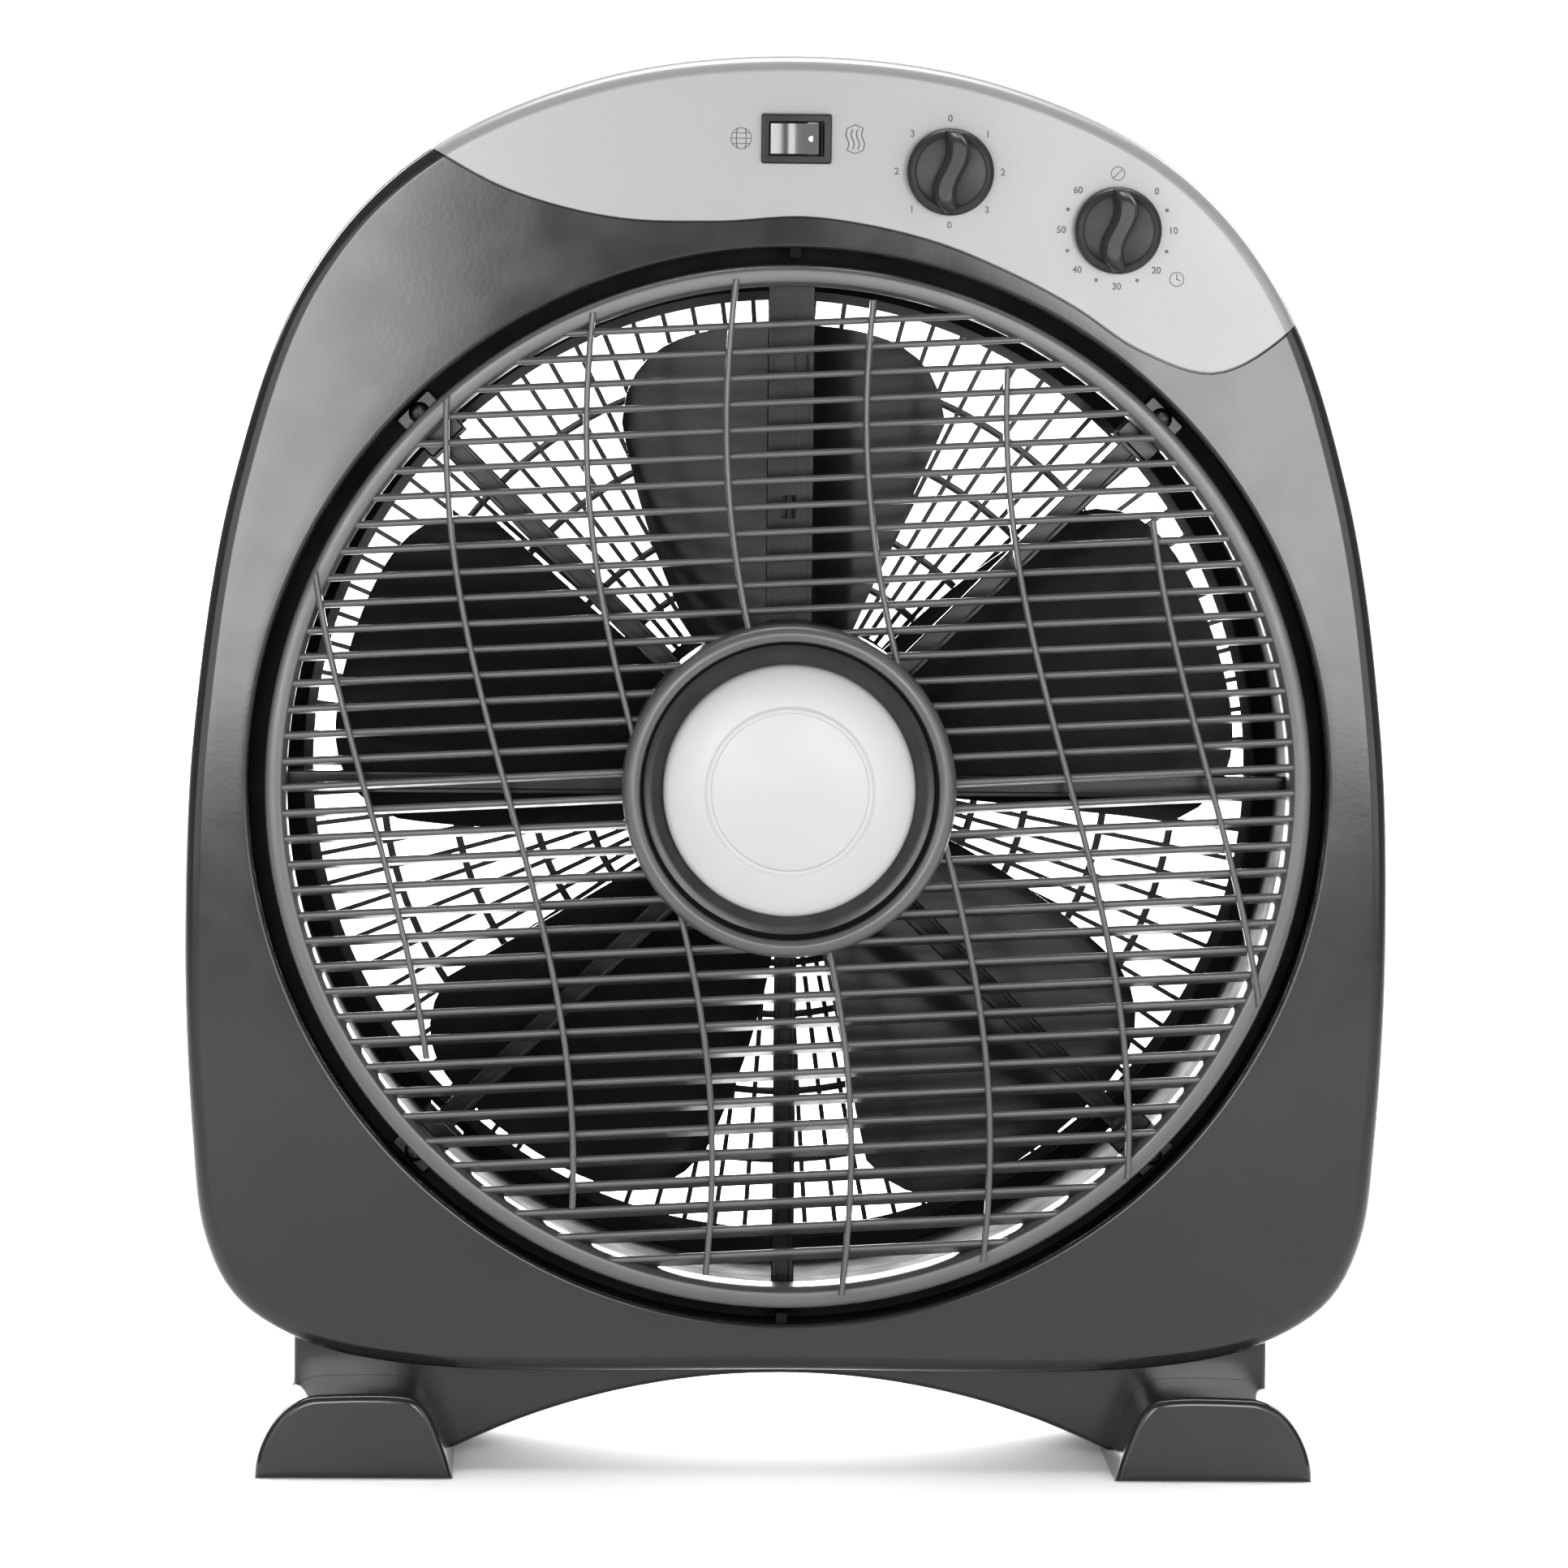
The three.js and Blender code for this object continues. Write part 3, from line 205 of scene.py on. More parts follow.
SHELL_SCREWS = [(-118, 150), (118, 150), (-173, -25), (173, -25), (-136, -141), (136, -141)]
SHELL_SCREW_SEAT_Y = 14
SCREW_R = 1.7
SCREW_HEAD_R = 3.3
SCREW_HEAD = 1.8
SCREW_PITCH = 1.2
SCREW_BORE_R = 2.3
SCREW_POST_R = 6.2
SCREW_RECESS_R = 4.2
FOOT_SINK_R = 3.9
FOOT_SCREW_X = 131
FOOT_SCREW_YS = (-14, 32)
GLAND_AT = (-112, -152)
GLAND_HOLE_R = 6

# ---------------------------------------------------------------- camera

CAMERA_AZIMUTH = -2.0
CAMERA_ELEVATION = 4.7
CAMERA_DISTANCE = 2400
CAMERA_LENS = 178.9
CAMERA_ROLL = 0.55
CAMERA_AIM = Vector((-1.51, -47.8, 213.6))


def make_camera():
    azimuth, elevation = math.radians(CAMERA_AZIMUTH), math.radians(CAMERA_ELEVATION)
    back = Vector((
        math.sin(azimuth) * math.cos(elevation),
        -math.cos(azimuth) * math.cos(elevation),
        math.sin(elevation),
    ))
    place = Vector((0, FRONT_Y, HUB_Z)) + back * CAMERA_DISTANCE
    look = (CAMERA_AIM - place).to_track_quat("-Z", "Y").to_matrix()
    roll = Matrix.Rotation(math.radians(CAMERA_ROLL), 3, "Z")
    camera = bpy.data.objects.new("camera", bpy.data.cameras.new("camera"))
    bpy.context.scene.collection.objects.link(camera)
    camera.matrix_world = Matrix.Translation(place * MM) @ (look @ roll).to_4x4()
    camera.data.lens = CAMERA_LENS
    camera.data.sensor_width = 36
    camera.data.clip_start = 0.05
    camera.data.clip_end = 50
    bpy.context.scene.camera = camera


make_camera()

# ---------------------------------------------------------------- materials


class Nodes:
    """Adds nodes to a material and links them."""

    def __init__(self, name):
        self.material = bpy.data.materials.new(name)
        self.material.use_nodes = True
        self.tree = self.material.node_tree
        self.shader = self.tree.nodes["Principled BSDF"]
        self.place = self.add("ShaderNodeTexCoord").outputs["Object"]

    def add(self, kind, **inputs):
        node = self.tree.nodes.new(kind)
        for socket, value in inputs.items():
            node.inputs[socket.replace("_", " ")].default_value = value
        return node

    def link(self, output, socket):
        self.tree.links.new(output, socket)

    def noise(self, scale, detail=3.0, stretch=None):
        """Noise from 0 to 1; scale is in waves per metre, and stretch scales the three axes."""
        node = self.add("ShaderNodeTexNoise", Scale=scale, Detail=detail)
        place = self.place
        if stretch:
            mapping = self.add("ShaderNodeMapping", Scale=stretch)
            self.link(place, mapping.inputs["Vector"])
            place = mapping.outputs["Vector"]
        self.link(place, node.inputs["Vector"])
        return node.outputs["Fac"]

    def spread(self, value, low, high):
        node = self.add("ShaderNodeMapRange", From_Min=0.3, From_Max=0.7, To_Min=low, To_Max=high)
        self.link(value, node.inputs["Value"])
        return node.outputs["Result"]

    def tint(self, value, color, darker, lighter):
        """The colour, scaled between two factors by a value."""
        ramp = self.add("ShaderNodeValToRGB")
        for element, factor in zip(ramp.color_ramp.elements, (darker, lighter)):
            element.color = [min(1.0, c * factor) for c in color] + [1.0]
        ramp.color_ramp.elements[0].position = 0.3
        ramp.color_ramp.elements[1].position = 0.7
        self.link(value, ramp.inputs["Fac"])
        return ramp.outputs["Color"]

    def bump(self, *layers):
        """Stacks bumps; each layer is (value, depth in metres)."""
        normal = None
        for value, depth in layers:
            node = self.add("ShaderNodeBump", Strength=1.0, Distance=depth)
            self.link(value, node.inputs["Height"])
            if normal:
                self.link(normal, node.inputs["Normal"])
            normal = node.outputs["Normal"]
        self.link(normal, self.shader.inputs["Normal"])


GRAIN_SCALE = 600
GRAIN_DEPTH = 0.000008
WAVE_SCALE = 11


def plastic(name, color, rough, shift=0.1, coat=0.0, gloss=0.5, wave_depth=0.0):
    """Moulded plastic: faint mottling, uneven gloss, fine surface grain and slight waviness."""
    nodes = Nodes(name)
    shader = nodes.shader.inputs
    nodes.link(nodes.tint(nodes.noise(26), color, 1 - shift, 1 + shift), shader["Base Color"])
    nodes.link(nodes.spread(nodes.noise(70, 5), rough * 0.86, rough * 1.16), shader["Roughness"])
    layers = [(nodes.noise(GRAIN_SCALE, 2), GRAIN_DEPTH)]
    if wave_depth:
        layers.append((nodes.noise(WAVE_SCALE, 1), wave_depth))
    nodes.bump(*layers)
    shader["Specular IOR Level"].default_value = gloss
    shader["Coat Weight"].default_value = coat
    shader["Coat Roughness"].default_value = 0.08
    return nodes.material


def silver_paint(name, color, rough):
    """Silver-painted plastic under a satin top, with the slight waviness of the paint."""
    nodes = Nodes(name)
    shader = nodes.shader.inputs
    nodes.link(nodes.tint(nodes.noise(14, 2), color, 0.99, 1.01), shader["Base Color"])
    nodes.link(nodes.spread(nodes.noise(22, 3), rough * 0.94, rough * 1.06), shader["Roughness"])
    nodes.bump((nodes.noise(450, 1), 0.000002))
    shader["Metallic"].default_value = 0.1
    return nodes.material


def brushed_metal(name, color, rough, stretch=(1, 0.04, 1)):
    """Machined or plated metal with fine marks round its axis."""
    nodes = Nodes(name)
    shader = nodes.shader.inputs
    marks = nodes.noise(2600, 4, stretch)
    nodes.link(nodes.tint(nodes.noise(45), color, 0.88, 1.1), shader["Base Color"])
    nodes.link(nodes.spread(marks, rough * 0.75, rough * 1.3), shader["Roughness"])
    nodes.bump((marks, 0.000005))
    shader["Metallic"].default_value = 1.0
    return nodes.material


LOOKS = {
    "shell_gloss": plastic("shell_gloss", (0.012, 0.012, 0.0125), 0.15, gloss=0.35, wave_depth=0.0002),
    "panel_silver": silver_paint("panel_silver", (0.185, 0.187, 0.189), 0.3),
    "cap_white": plastic("cap_white", (0.33, 0.33, 0.326), 0.38, shift=0.03),
    "black_plastic": plastic("black_plastic", (0.005, 0.005, 0.0053), 0.22, gloss=0.24),
    "black_gloss": plastic("black_gloss", (0.012, 0.012, 0.013), 0.2, coat=0.3),
    "smoke_plastic": plastic("smoke_plastic", (0.008, 0.008, 0.0084), 0.18, gloss=0.3),
    "lead_sheath": plastic("lead_sheath", (0.02, 0.02, 0.02), 0.55),
    "zinc_steel": brushed_metal("zinc_steel", (0.55, 0.56, 0.57), 0.34),
    "screw_steel": brushed_metal("screw_steel", (0.50, 0.51, 0.52), 0.3),
    "copper_wire": brushed_metal("copper_wire", (0.60, 0.27, 0.12), 0.35, (0.04, 1, 1)),
    "bronze": brushed_metal("bronze", (0.50, 0.34, 0.16), 0.4),
}
GRILLE_SATIN = plastic("grille_satin", (0.055, 0.055, 0.0565), 0.32)
KNOB_SATIN = plastic("knob_satin", (0.018, 0.018, 0.0185), 0.34, gloss=0.2)
# Near-black matt plastic that paints shade into the mouth gap and the air tunnel.
PAINTED_SHADE_INSIDE = plastic("painted_shade_inside", (0.0035, 0.0035, 0.0035), 0.6, gloss=0.06)
# Painted shade: near-black steel for the bracket screws, which sit in the dark gap round the grille.
SHADE_DARK_STEEL = brushed_metal("shade_dark_steel", (0.03, 0.03, 0.031), 0.4)
INK = plastic("ink", (0.05, 0.05, 0.052), 0.5, shift=0.2)
WHITE_INK = plastic("white_ink", (0.85, 0.85, 0.84), 0.45, shift=0.03)

SLOT_OF = {row["node"]: row["material_slot"] for row in frame["record"]["subparts"]}
BODY_OF = {node: body for body, nodes in frame["record"]["behaviour"]["bodies"].items() for node in nodes}

# ---------------------------------------------------------------- shape helpers
# A shape is a pair of lists: points [x, y, z] in millimetres, and faces of point numbers.


def loft(rows, torus=False):
    """Skin through closed rows of points. The end rows are capped, or joined in a torus."""
    count = len(rows[0])
    points = [point for row in rows for point in row]
    faces = []
    for r in range(len(rows) if torus else len(rows) - 1):
        here, there = r * count, (r + 1) % len(rows) * count
        for i in range(count):
            j = (i + 1) % count
            faces.append((here + i, here + j, there + j, there + i))
    if not torus:
        faces.append(tuple(range(count)))
        faces.append(tuple(range((len(rows) - 1) * count, len(rows) * count)))
    return points, faces


def polar(radius, degrees):
    """(x, up) at an angle clockwise from straight up, seen from the front."""
    angle = math.radians(degrees)
    return radius * math.sin(angle), radius * math.cos(angle)


def ring_row(radius, y, steps, at=(0, 0)):
    row = []
    for i in range(steps):
        x, up = polar(radius, 360 * i / steps)
        row.append((at[0] + x, y, HUB_Z + at[1] + up))
    return row


def lathe(profile, steps=96, at=(0, 0), torus=False):
    """Turned shape about an axis along Y; the profile is a list of (radius, y)."""
    return loft([ring_row(max(radius, 0.02), y, steps, at) for radius, y in profile], torus)


def rod(radius, y0, y1, steps, at=(0, 0)):
    """Round bar along Y, centred on (x, up)."""
    return lathe([(radius, y0), (radius, y1)], steps, at)


def rods(radius, y0, y1, steps, places):
    return joined(rod(radius, y0, y1, steps, at) for at in places)


def arc(centre, radius, start, stop, steps):
    """Points (a, b) on an arc; 0 degrees points along +a and 90 along +b."""
    angles = [math.radians(start + (stop - start) * i / steps) for i in range(steps + 1)]
    return [(centre[0] + radius * math.cos(t), centre[1] + radius * math.sin(t)) for t in angles]


def rounded_rectangle(half_wide, half_high, radius, steps=4):
    corners = [(1, 1, 0), (-1, 1, 90), (-1, -1, 180), (1, -1, 270)]
    points = []
    for side, top, start in corners:
        centre = (side * (half_wide - radius), top * (half_high - radius))
        points += arc(centre, radius, start, start + 90, steps)
    return points


def inset(outline, distance):
    """Moves every edge of a closed outline inwards, or outwards if distance is negative."""
    count = len(outline)
    area = sum(
        outline[i][0] * outline[(i + 1) % count][1] - outline[(i + 1) % count][0] * outline[i][1]
        for i in range(count)
    )
    side = math.copysign(1, area)
    moved = []
    for i, point in enumerate(outline):
        before, here, after = Vector(outline[i - 1]), Vector(point), Vector(outline[(i + 1) % count])
        first = Vector((before.y - here.y, here.x - before.x)).normalized()
        second = Vector((here.y - after.y, after.x - here.x)).normalized()
        middle = (first + second).normalized()
        moved.append(here + middle * (side * distance / max(0.3, middle.dot(first))))
    return [(point.x, point.y) for point in moved]


def prism(outline, y0, y1, front=0.0, back=0.0, steps=4):
    """Outline of (x, up) along Y, with its front and back edges rounded."""
    rows = []
    for i in range(steps + 1 if front else 1):
        turn = math.radians(90 * i / steps) if front else math.pi / 2
        rows.append((front * (1 - math.sin(turn)), y0 + front * (1 - math.cos(turn))))
    for i in range(steps + 1 if back else 1):
        turn = math.radians(90 * (1 - i / steps)) if back else math.pi / 2
        rows.append((back * (1 - math.sin(turn)), y1 - back * (1 - math.cos(turn))))
    return loft([[(x, y, HUB_Z + up) for x, up in inset(outline, by)] for by, y in rows])


def block(x0, x1, y0, y1, up0, up1, edge=0.0):
    outline = [(x0, up0), (x1, up0), (x1, up1), (x0, up1)]
    if edge:
        middle = ((x0 + x1) / 2, (up0 + up1) / 2)
        corners = rounded_rectangle((x1 - x0) / 2, (up1 - up0) / 2, edge)
        outline = [(middle[0] + x, middle[1] + up) for x, up in corners]
    return prism(outline, y0, y1, edge * 0.7, edge * 0.7, 3)


def turned(shape, degrees, at=(0, 0)):
    """The shape turned clockwise, seen from the front, about an axis along Y."""
    points, faces = shape
    centre = Vector((at[0], 0, HUB_Z + at[1]))
    turn = Matrix.Rotation(math.radians(degrees), 3, "Y")
    return [turn @ (Vector(point) - centre) + centre for point in points], faces


def joined(shapes):
    points, faces = [], []
    for more_points, more_faces in shapes:
        start = len(points)
        points += list(more_points)
        faces += [tuple(i + start for i in face) for face in more_faces]
    return points, faces


def smooth_curve(points, steps, closed):
    """Evenly spaced points on a centripetal Catmull-Rom curve."""
    count = len(points)
    knots = [Vector(point) for point in points]

    def knot(i):
        if closed:
            return knots[i % count]
        if i < 0:
            return knots[0] * 2 - knots[1]
        if i >= count:
            return knots[-1] * 2 - knots[-2]
        return knots[i]

    fine = []
    for i in range(count if closed else count - 1):
        p0, p1, p2, p3 = (knot(i + k) for k in (-1, 0, 1, 2))
        t1 = (p1 - p0).length ** 0.5
        t2 = t1 + (p2 - p1).length ** 0.5
        t3 = t2 + (p3 - p2).length ** 0.5
        for k in range(40):
            t = t1 + (t2 - t1) * k / 40
            a1 = p0 * ((t1 - t) / t1) + p1 * (t / t1)
            a2 = p1 * ((t2 - t) / (t2 - t1)) + p2 * ((t - t1) / (t2 - t1))
            a3 = p2 * ((t3 - t) / (t3 - t2)) + p3 * ((t - t2) / (t3 - t2))
            b1 = a1 * ((t2 - t) / t2) + a2 * (t / t2)
            b2 = a2 * ((t3 - t) / (t3 - t1)) + a3 * ((t - t1) / (t3 - t1))
            fine.append(b1 * ((t2 - t) / (t2 - t1)) + b2 * ((t - t1) / (t2 - t1)))
    fine.append(knot(0) if closed else knots[-1])
    lengths = [0.0]
    for a, b in zip(fine, fine[1:]):
        lengths.append(lengths[-1] + (b - a).length)
    spaced, k = [], 0
    for i in range(steps if closed else steps + 1):
        want = lengths[-1] * i / steps
        while k < len(fine) - 2 and lengths[k + 1] < want:
            k += 1
        share = (want - lengths[k]) / (lengths[k + 1] - lengths[k])
        spaced.append(tuple(fine[k].lerp(fine[k + 1], min(1.0, share))))
    return spaced


# ---------------------------------------------------------------- object helpers


def make(name, *shapes):
    """Mesh object of one or more closed shapes, with its faces turned outwards."""
    points, faces = joined(shapes)
    mesh = bpy.data.meshes.new(name)
    mesh.from_pydata([Vector(point) * MM for point in points], [], faces)
    obj = bpy.data.objects.new(name, mesh)
    bpy.context.scene.collection.objects.link(obj)
    face_outwards(mesh)
    return obj


def face_outwards(mesh):
    work = bmesh.new()
    work.from_mesh(mesh)
    bmesh.ops.remove_doubles(work, verts=work.verts, dist=1e-7)
    bmesh.ops.recalc_face_normals(work, faces=work.faces)
    work.to_mesh(mesh)
    work.free()


def bake(obj):
    """Makes the result of the modifiers the object's own mesh."""
    graph = bpy.context.evaluated_depsgraph_get()
    mesh = bpy.data.meshes.new_from_object(obj.evaluated_get(graph))
    old = obj.data
    obj.modifiers.clear()
    obj.data = mesh
    bpy.data.meshes.remove(old)


def merge(obj, operation, tool):
    """Joins or cuts the object with another one, which is used up."""
    modifier = obj.modifiers.new("merge", "BOOLEAN")
    modifier.operation = operation
    modifier.object = tool
    modifier.solver = "MANIFOLD"
    bake(obj)
    bpy.data.objects.remove(tool)
    if not obj.data.polygons:
        raise RuntimeError(f"{operation} left nothing of {obj.name}")


def combine(obj, operation, *shapes):
    """UNION, DIFFERENCE or INTERSECT of the object with each shape in turn."""
    for shape in shapes:
        merge(obj, operation, make("tool", shape))


def dress(obj, slot, body, *nodes, sharp=32, look=None):
    """Material, smooth shading, body and the CAD nodes that the piece stands for."""
    obj.data.materials.clear()
    obj.data.materials.append(look or LOOKS[slot])
    obj.data.polygons.foreach_set("use_smooth", [True] * len(obj.data.polygons))
    obj.data.set_sharp_from_angle(angle=math.radians(sharp))
    normals = obj.modifiers.new("normals", "WEIGHTED_NORMAL")
    normals.keep_sharp = True
    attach(obj, body)
    if nodes:
        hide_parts(*nodes)
    return obj


def painted_shade_look(obj, material, from_y, to_y, radius):
    """A darker second material for the faces near the fan axis, between two depths: painted shade in
    recesses.
    """
    obj.data.materials.append(material)
    for face in obj.data.polygons:
        x, y, z = face.center / MM
        if from_y < y < to_y and math.hypot(x, z - HUB_Z) < radius:
            face.material_index = 1


# ---------------------------------------------------------------- body

BODY = smooth_curve(OUTLINE + [(-x, up) for x, up in OUTLINE[-2:0:-1]], OUTLINE_STEPS, True)


def body_row(by, y):
    return [(x, y, HUB_Z + up) for x, up in inset(BODY, by)]


def round_row(radius, y):
    """Circle about the fan axis, each point facing the outline point of the same number."""
    row = []
    for x, up in BODY:
        angle = math.atan2(x, up)
        row.append((radius * math.sin(angle), y, HUB_Z + radius * math.cos(angle)))
    return row


def between(first, second, share):
    return [tuple(Vector(a).lerp(Vector(b), share)) for a, b in zip(first, second)]


def edge_rows(fillet, face_y, inward, by=0):
    """Rows of a rounded body edge, from the face to the side; inward is +1 from the front."""
    rows = []
    for i in range(EDGE_STEPS + 1):
        turn = math.radians(90 * i / EDGE_STEPS)
        aside = by + fillet * (1 - math.sin(turn))
        rows.append(body_row(aside, face_y + inward * fillet * (1 - math.cos(turn))))
    return rows


def front_block(by, face_y, fillet, end_y):
    """Solid front half of the body, moved inwards by a distance."""
    return loft(edge_rows(fillet, face_y, 1, by) + [body_row(by, end_y)])


def panel_region(shift):
    edge = [(x, up + shift) for x, up in smooth_curve(PANEL_EDGE, 90, False)]
    side, top = 220, 240
    outline = [(-side, top), (-side, edge[0][1])] + edge + [(side, edge[-1][1]), (side, top)]
    return prism(outline, FRONT_Y - 10, SPLIT_Y + 10)


def seam_groove():
    """Shallow V along the joint between panel and shell, in the front face."""
    path = smooth_curve(PANEL_EDGE, 90, False)
    rows = []
    for i, (x, up) in enumerate(path):
        before, after = path[max(0, i - 1)], path[min(len(path) - 1, i + 1)]
        along = Vector((after[0] - before[0], after[1] - before[1])).normalized()
        half = SEAM_WIDTH / 2
        x_off, up_off = -along.y * half, along.x * half
        z = HUB_Z + up
        rows.append([
            (x + x_off, FRONT_Y - 0.02, z + up_off), (x, FRONT_Y + SEAM_DEPTH, z),
            (x - x_off, FRONT_Y - 0.02, z - up_off), (x, FRONT_Y - 1, z),
        ])
    return loft(rows)


def control_holes():
    (x, up), (wide, high) = ROCKER_AT, ROCKER_HOLE_HALF
    return joined([
        block(x - wide, x + wide, FRONT_Y - 5, FRONT_Y + 12, up - high, up + high),
        rods(DIAL_HOLE_R, FRONT_Y - 5, FRONT_Y + 12, 32, (SPEED_AT, TIMER_AT)),
    ])


def make_front_shell():
    edge = [
        round_row(MOUTH_R + MOUTH_EDGE * (1 - math.cos(math.radians(t))),
                  FRONT_Y + MOUTH_EDGE * (1 - math.sin(math.radians(t))))
        for t in (0, 22, 45, 68, 90)
    ]
    outer = edge_rows(FRONT_FILLET, FRONT_Y, 1)
    face = [between(edge[-1], outer[0], share) for share in FACE_SHARES]
    inner_face_y, back = FRONT_Y + WALL, SHELF_Y + TUNNEL_WALL
    rows = [
        round_row(TUNNEL_R, SPLIT_Y), round_row(TUNNEL_R, SHELF_Y + 0.8),
        round_row(TUNNEL_R + 0.3, SHELF_Y + 0.2), round_row(TUNNEL_R + 0.9, SHELF_Y),
        round_row(MOUTH_R, SHELF_Y), *edge, *face, *outer,
        body_row(0, SPLIT_Y), body_row(WALL, SPLIT_Y), body_row(WALL, inner_face_y + 4),
        body_row(WALL + 4, inner_face_y), round_row(MOUTH_R + 3, inner_face_y), round_row(MOUTH_R + 3, back),
        round_row(TUNNEL_R + TUNNEL_WALL, back), round_row(TUNNEL_R + TUNNEL_WALL, SPLIT_Y),
    ]
    shell = make("front_shell_piece", loft(rows, torus=True))
    under = PANEL_THICKNESS + GAP
    seat = make("seat", front_block(-1, FRONT_Y - 1, FRONT_FILLET, SPLIT_Y + 1))
    combine(seat, "DIFFERENCE", front_block(under, FRONT_Y + under, FRONT_FILLET - under, SPLIT_Y + 5))
    combine(seat, "INTERSECT", panel_region(-GAP / 2))
    merge(shell, "DIFFERENCE", seat)
    tab = block(-1.8, 1.8, -45, -35, MOUTH_R - 3.2, MOUTH_R + 1.5, 0.4)
    combine(shell, "UNION", *(turned(tab, degrees) for degrees in TAB_TURNS))
    combine(shell, "DIFFERENCE", control_holes(), seam_groove())
    dress(shell, "shell_gloss", "housing", "front_shell")
    # Painted shade: the surface inside the mouth and the air tunnel gets a near-black matt material, so the
    # gap ring reads dark.
    painted_shade_look(shell, PAINTED_SHADE_INSIDE, FRONT_Y + MOUTH_EDGE, SPLIT_Y + 1, MOUTH_R + 0.5)


def make_control_panel():
    panel = make("control_panel_piece", front_block(0, FRONT_Y, FRONT_FILLET, SPLIT_Y))
    thick = PANEL_THICKNESS
    combine(panel, "DIFFERENCE", front_block(thick, FRONT_Y + thick, FRONT_FILLET - thick, SPLIT_Y + 5))
    combine(panel, "INTERSECT", panel_region(GAP / 2))
    combine(panel, "DIFFERENCE", control_holes(), seam_groove())
    return dress(panel, "panel_silver", "housing", "control_panel")


def pedestal_shape():
    radius = (ARCH_HALF ** 2 + ARCH_RISE ** 2) / (2 * ARCH_RISE)
    span = math.degrees(math.asin(ARCH_HALF / radius))
    top = PEDESTAL_BOTTOM + ARCH_RISE
    arch = [(x, top - radius + up) for x, up in (polar(radius, span * (i / 20 - 1)) for i in range(41))]
    side = PEDESTAL_HALF
    outline = [(-side, PEDESTAL_BOTTOM), *arch, (side, PEDESTAL_BOTTOM), (side, -150), (-side, -150)]
    return prism(outline, PEDESTAL_FRONT_Y, BACK_Y - 2, PEDESTAL_EDGE, PEDESTAL_EDGE)


def make_rear_shell():
    joint_y = SPLIT_Y + GAP
    seat_y = REAR_GRILLE_FRONT_Y - GAP
    lip_y = seat_y - REAR_LIP
    ledge_r, seat_r = REAR_RIM_INNER_R + 1, REAR_GRILLE_R + GAP
    back_rows = list(reversed(edge_rows(BACK_FILLET, BACK_Y, -1)))
    rim = round_row(seat_r + 0.8, BACK_Y)
    face = [between(back_rows[-1], rim, share) for share in FACE_SHARES]
    rows = [
        round_row(TUNNEL_R, joint_y), round_row(TUNNEL_R, lip_y), round_row(ledge_r, lip_y),
        round_row(ledge_r, seat_y), round_row(seat_r, seat_y), round_row(seat_r, BACK_Y - 0.8), rim,
        *reversed(face), *reversed(back_rows),
        body_row(0, joint_y), body_row(WALL, joint_y), body_row(WALL, BACK_Y - BACK_FILLET),
        body_row(BACK_FILLET, BACK_Y - WALL), round_row(TUNNEL_R + TUNNEL_WALL, BACK_Y - WALL),
        round_row(TUNNEL_R + TUNNEL_WALL, joint_y),
    ]
    shell = make("rear_shell_piece", loft(rows, torus=True))
    foot_part = make("pedestal", pedestal_shape())
    combine(foot_part, "DIFFERENCE", front_block(-GAP, -70, 1, joint_y))
    inner = loft([body_row(1.5, joint_y - 1), body_row(1.5, BACK_Y + 5)])
    combine(foot_part, "DIFFERENCE", inner)
    merge(shell, "UNION", foot_part)
    low, high = HANDLE_UP
    middle = (low + high) / 2
    wide, deep = HANDLE_HALF + WALL, BACK_Y - HANDLE_DEPTH
    posts = rods(SCREW_POST_R, joint_y, BACK_Y - 1, 24, SHELL_SCREWS)
    recess = block(-wide, wide, deep - WALL, BACK_Y - 1, low - WALL, high + WALL)
    combine(shell, "UNION", posts, recess)
    corners = rounded_rectangle(HANDLE_HALF, (high - low) / 2, 9, 8)
    pocket = prism([(x, middle + up) for x, up in corners], deep, BACK_Y + 5, 5, 0, 6)
    heads = rods(SCREW_RECESS_R, SHELL_SCREW_SEAT_Y, BACK_Y + 1, 32, SHELL_SCREWS)
    bores = rods(SCREW_BORE_R, joint_y - 1, SHELL_SCREW_SEAT_Y + 1, 16, SHELL_SCREWS)
    gland = rod(GLAND_HOLE_R, BACK_Y - 8, BACK_Y + 1, 32, GLAND_AT)
    combine(shell, "DIFFERENCE", pocket, heads, bores, gland)
    dress(shell, "shell_gloss", "housing", "rear_shell")
    # Painted shade: the inside of the air tunnel gets the near-black matt material.
    painted_shade_look(shell, PAINTED_SHADE_INSIDE, SPLIT_Y, BACK_Y - 1, TUNNEL_R + 0.5)


def make_foot(label, side):
    curve = smooth_curve(FOOT_PROFILE[1:], 60, False)
    outline = [(side * x, z - HUB_Z) for x, z in [FOOT_PROFILE[0], *curve]]
    solid = prism(outline, -FOOT_HALF_DEPTH, FOOT_HALF_DEPTH, FOOT_FILLET, FOOT_FILLET, 5)
    foot = make(f"foot_{label}_piece", solid)
    half = PEDESTAL_HALF + GAP
    leg = block(-half, half, PEDESTAL_FRONT_Y - GAP, BACK_Y - 2 + GAP, PEDESTAL_BOTTOM - GAP, -150)
    combine(foot, "DIFFERENCE", leg)
    for y in FOOT_SCREW_YS:
        x = side * FOOT_SCREW_X
        pocket = [[(x + r * math.cos(t), y + r * math.sin(t), z) for t in circle(24)]
                  for r, z in ((FOOT_SINK_R, -1), (FOOT_SINK_R, 2), (SCREW_BORE_R, 2), (SCREW_BORE_R, 12))]
        combine(foot, "DIFFERENCE", loft(pocket))
    return dress(foot, "shell_gloss", "housing", f"foot_{label}")


def circle(steps):
    return [2 * math.pi * i / steps for i in range(steps)]


# ---------------------------------------------------------------- rotating grille


def rib_sway(up):
    fade = 1 - RIB_SWAY_FADE * abs(up / GRILLE_INNER_R) ** 3
    return -RIB_SWAY * math.sin(math.pi * up / (2 * RIB_SWAY_UP)) * fade


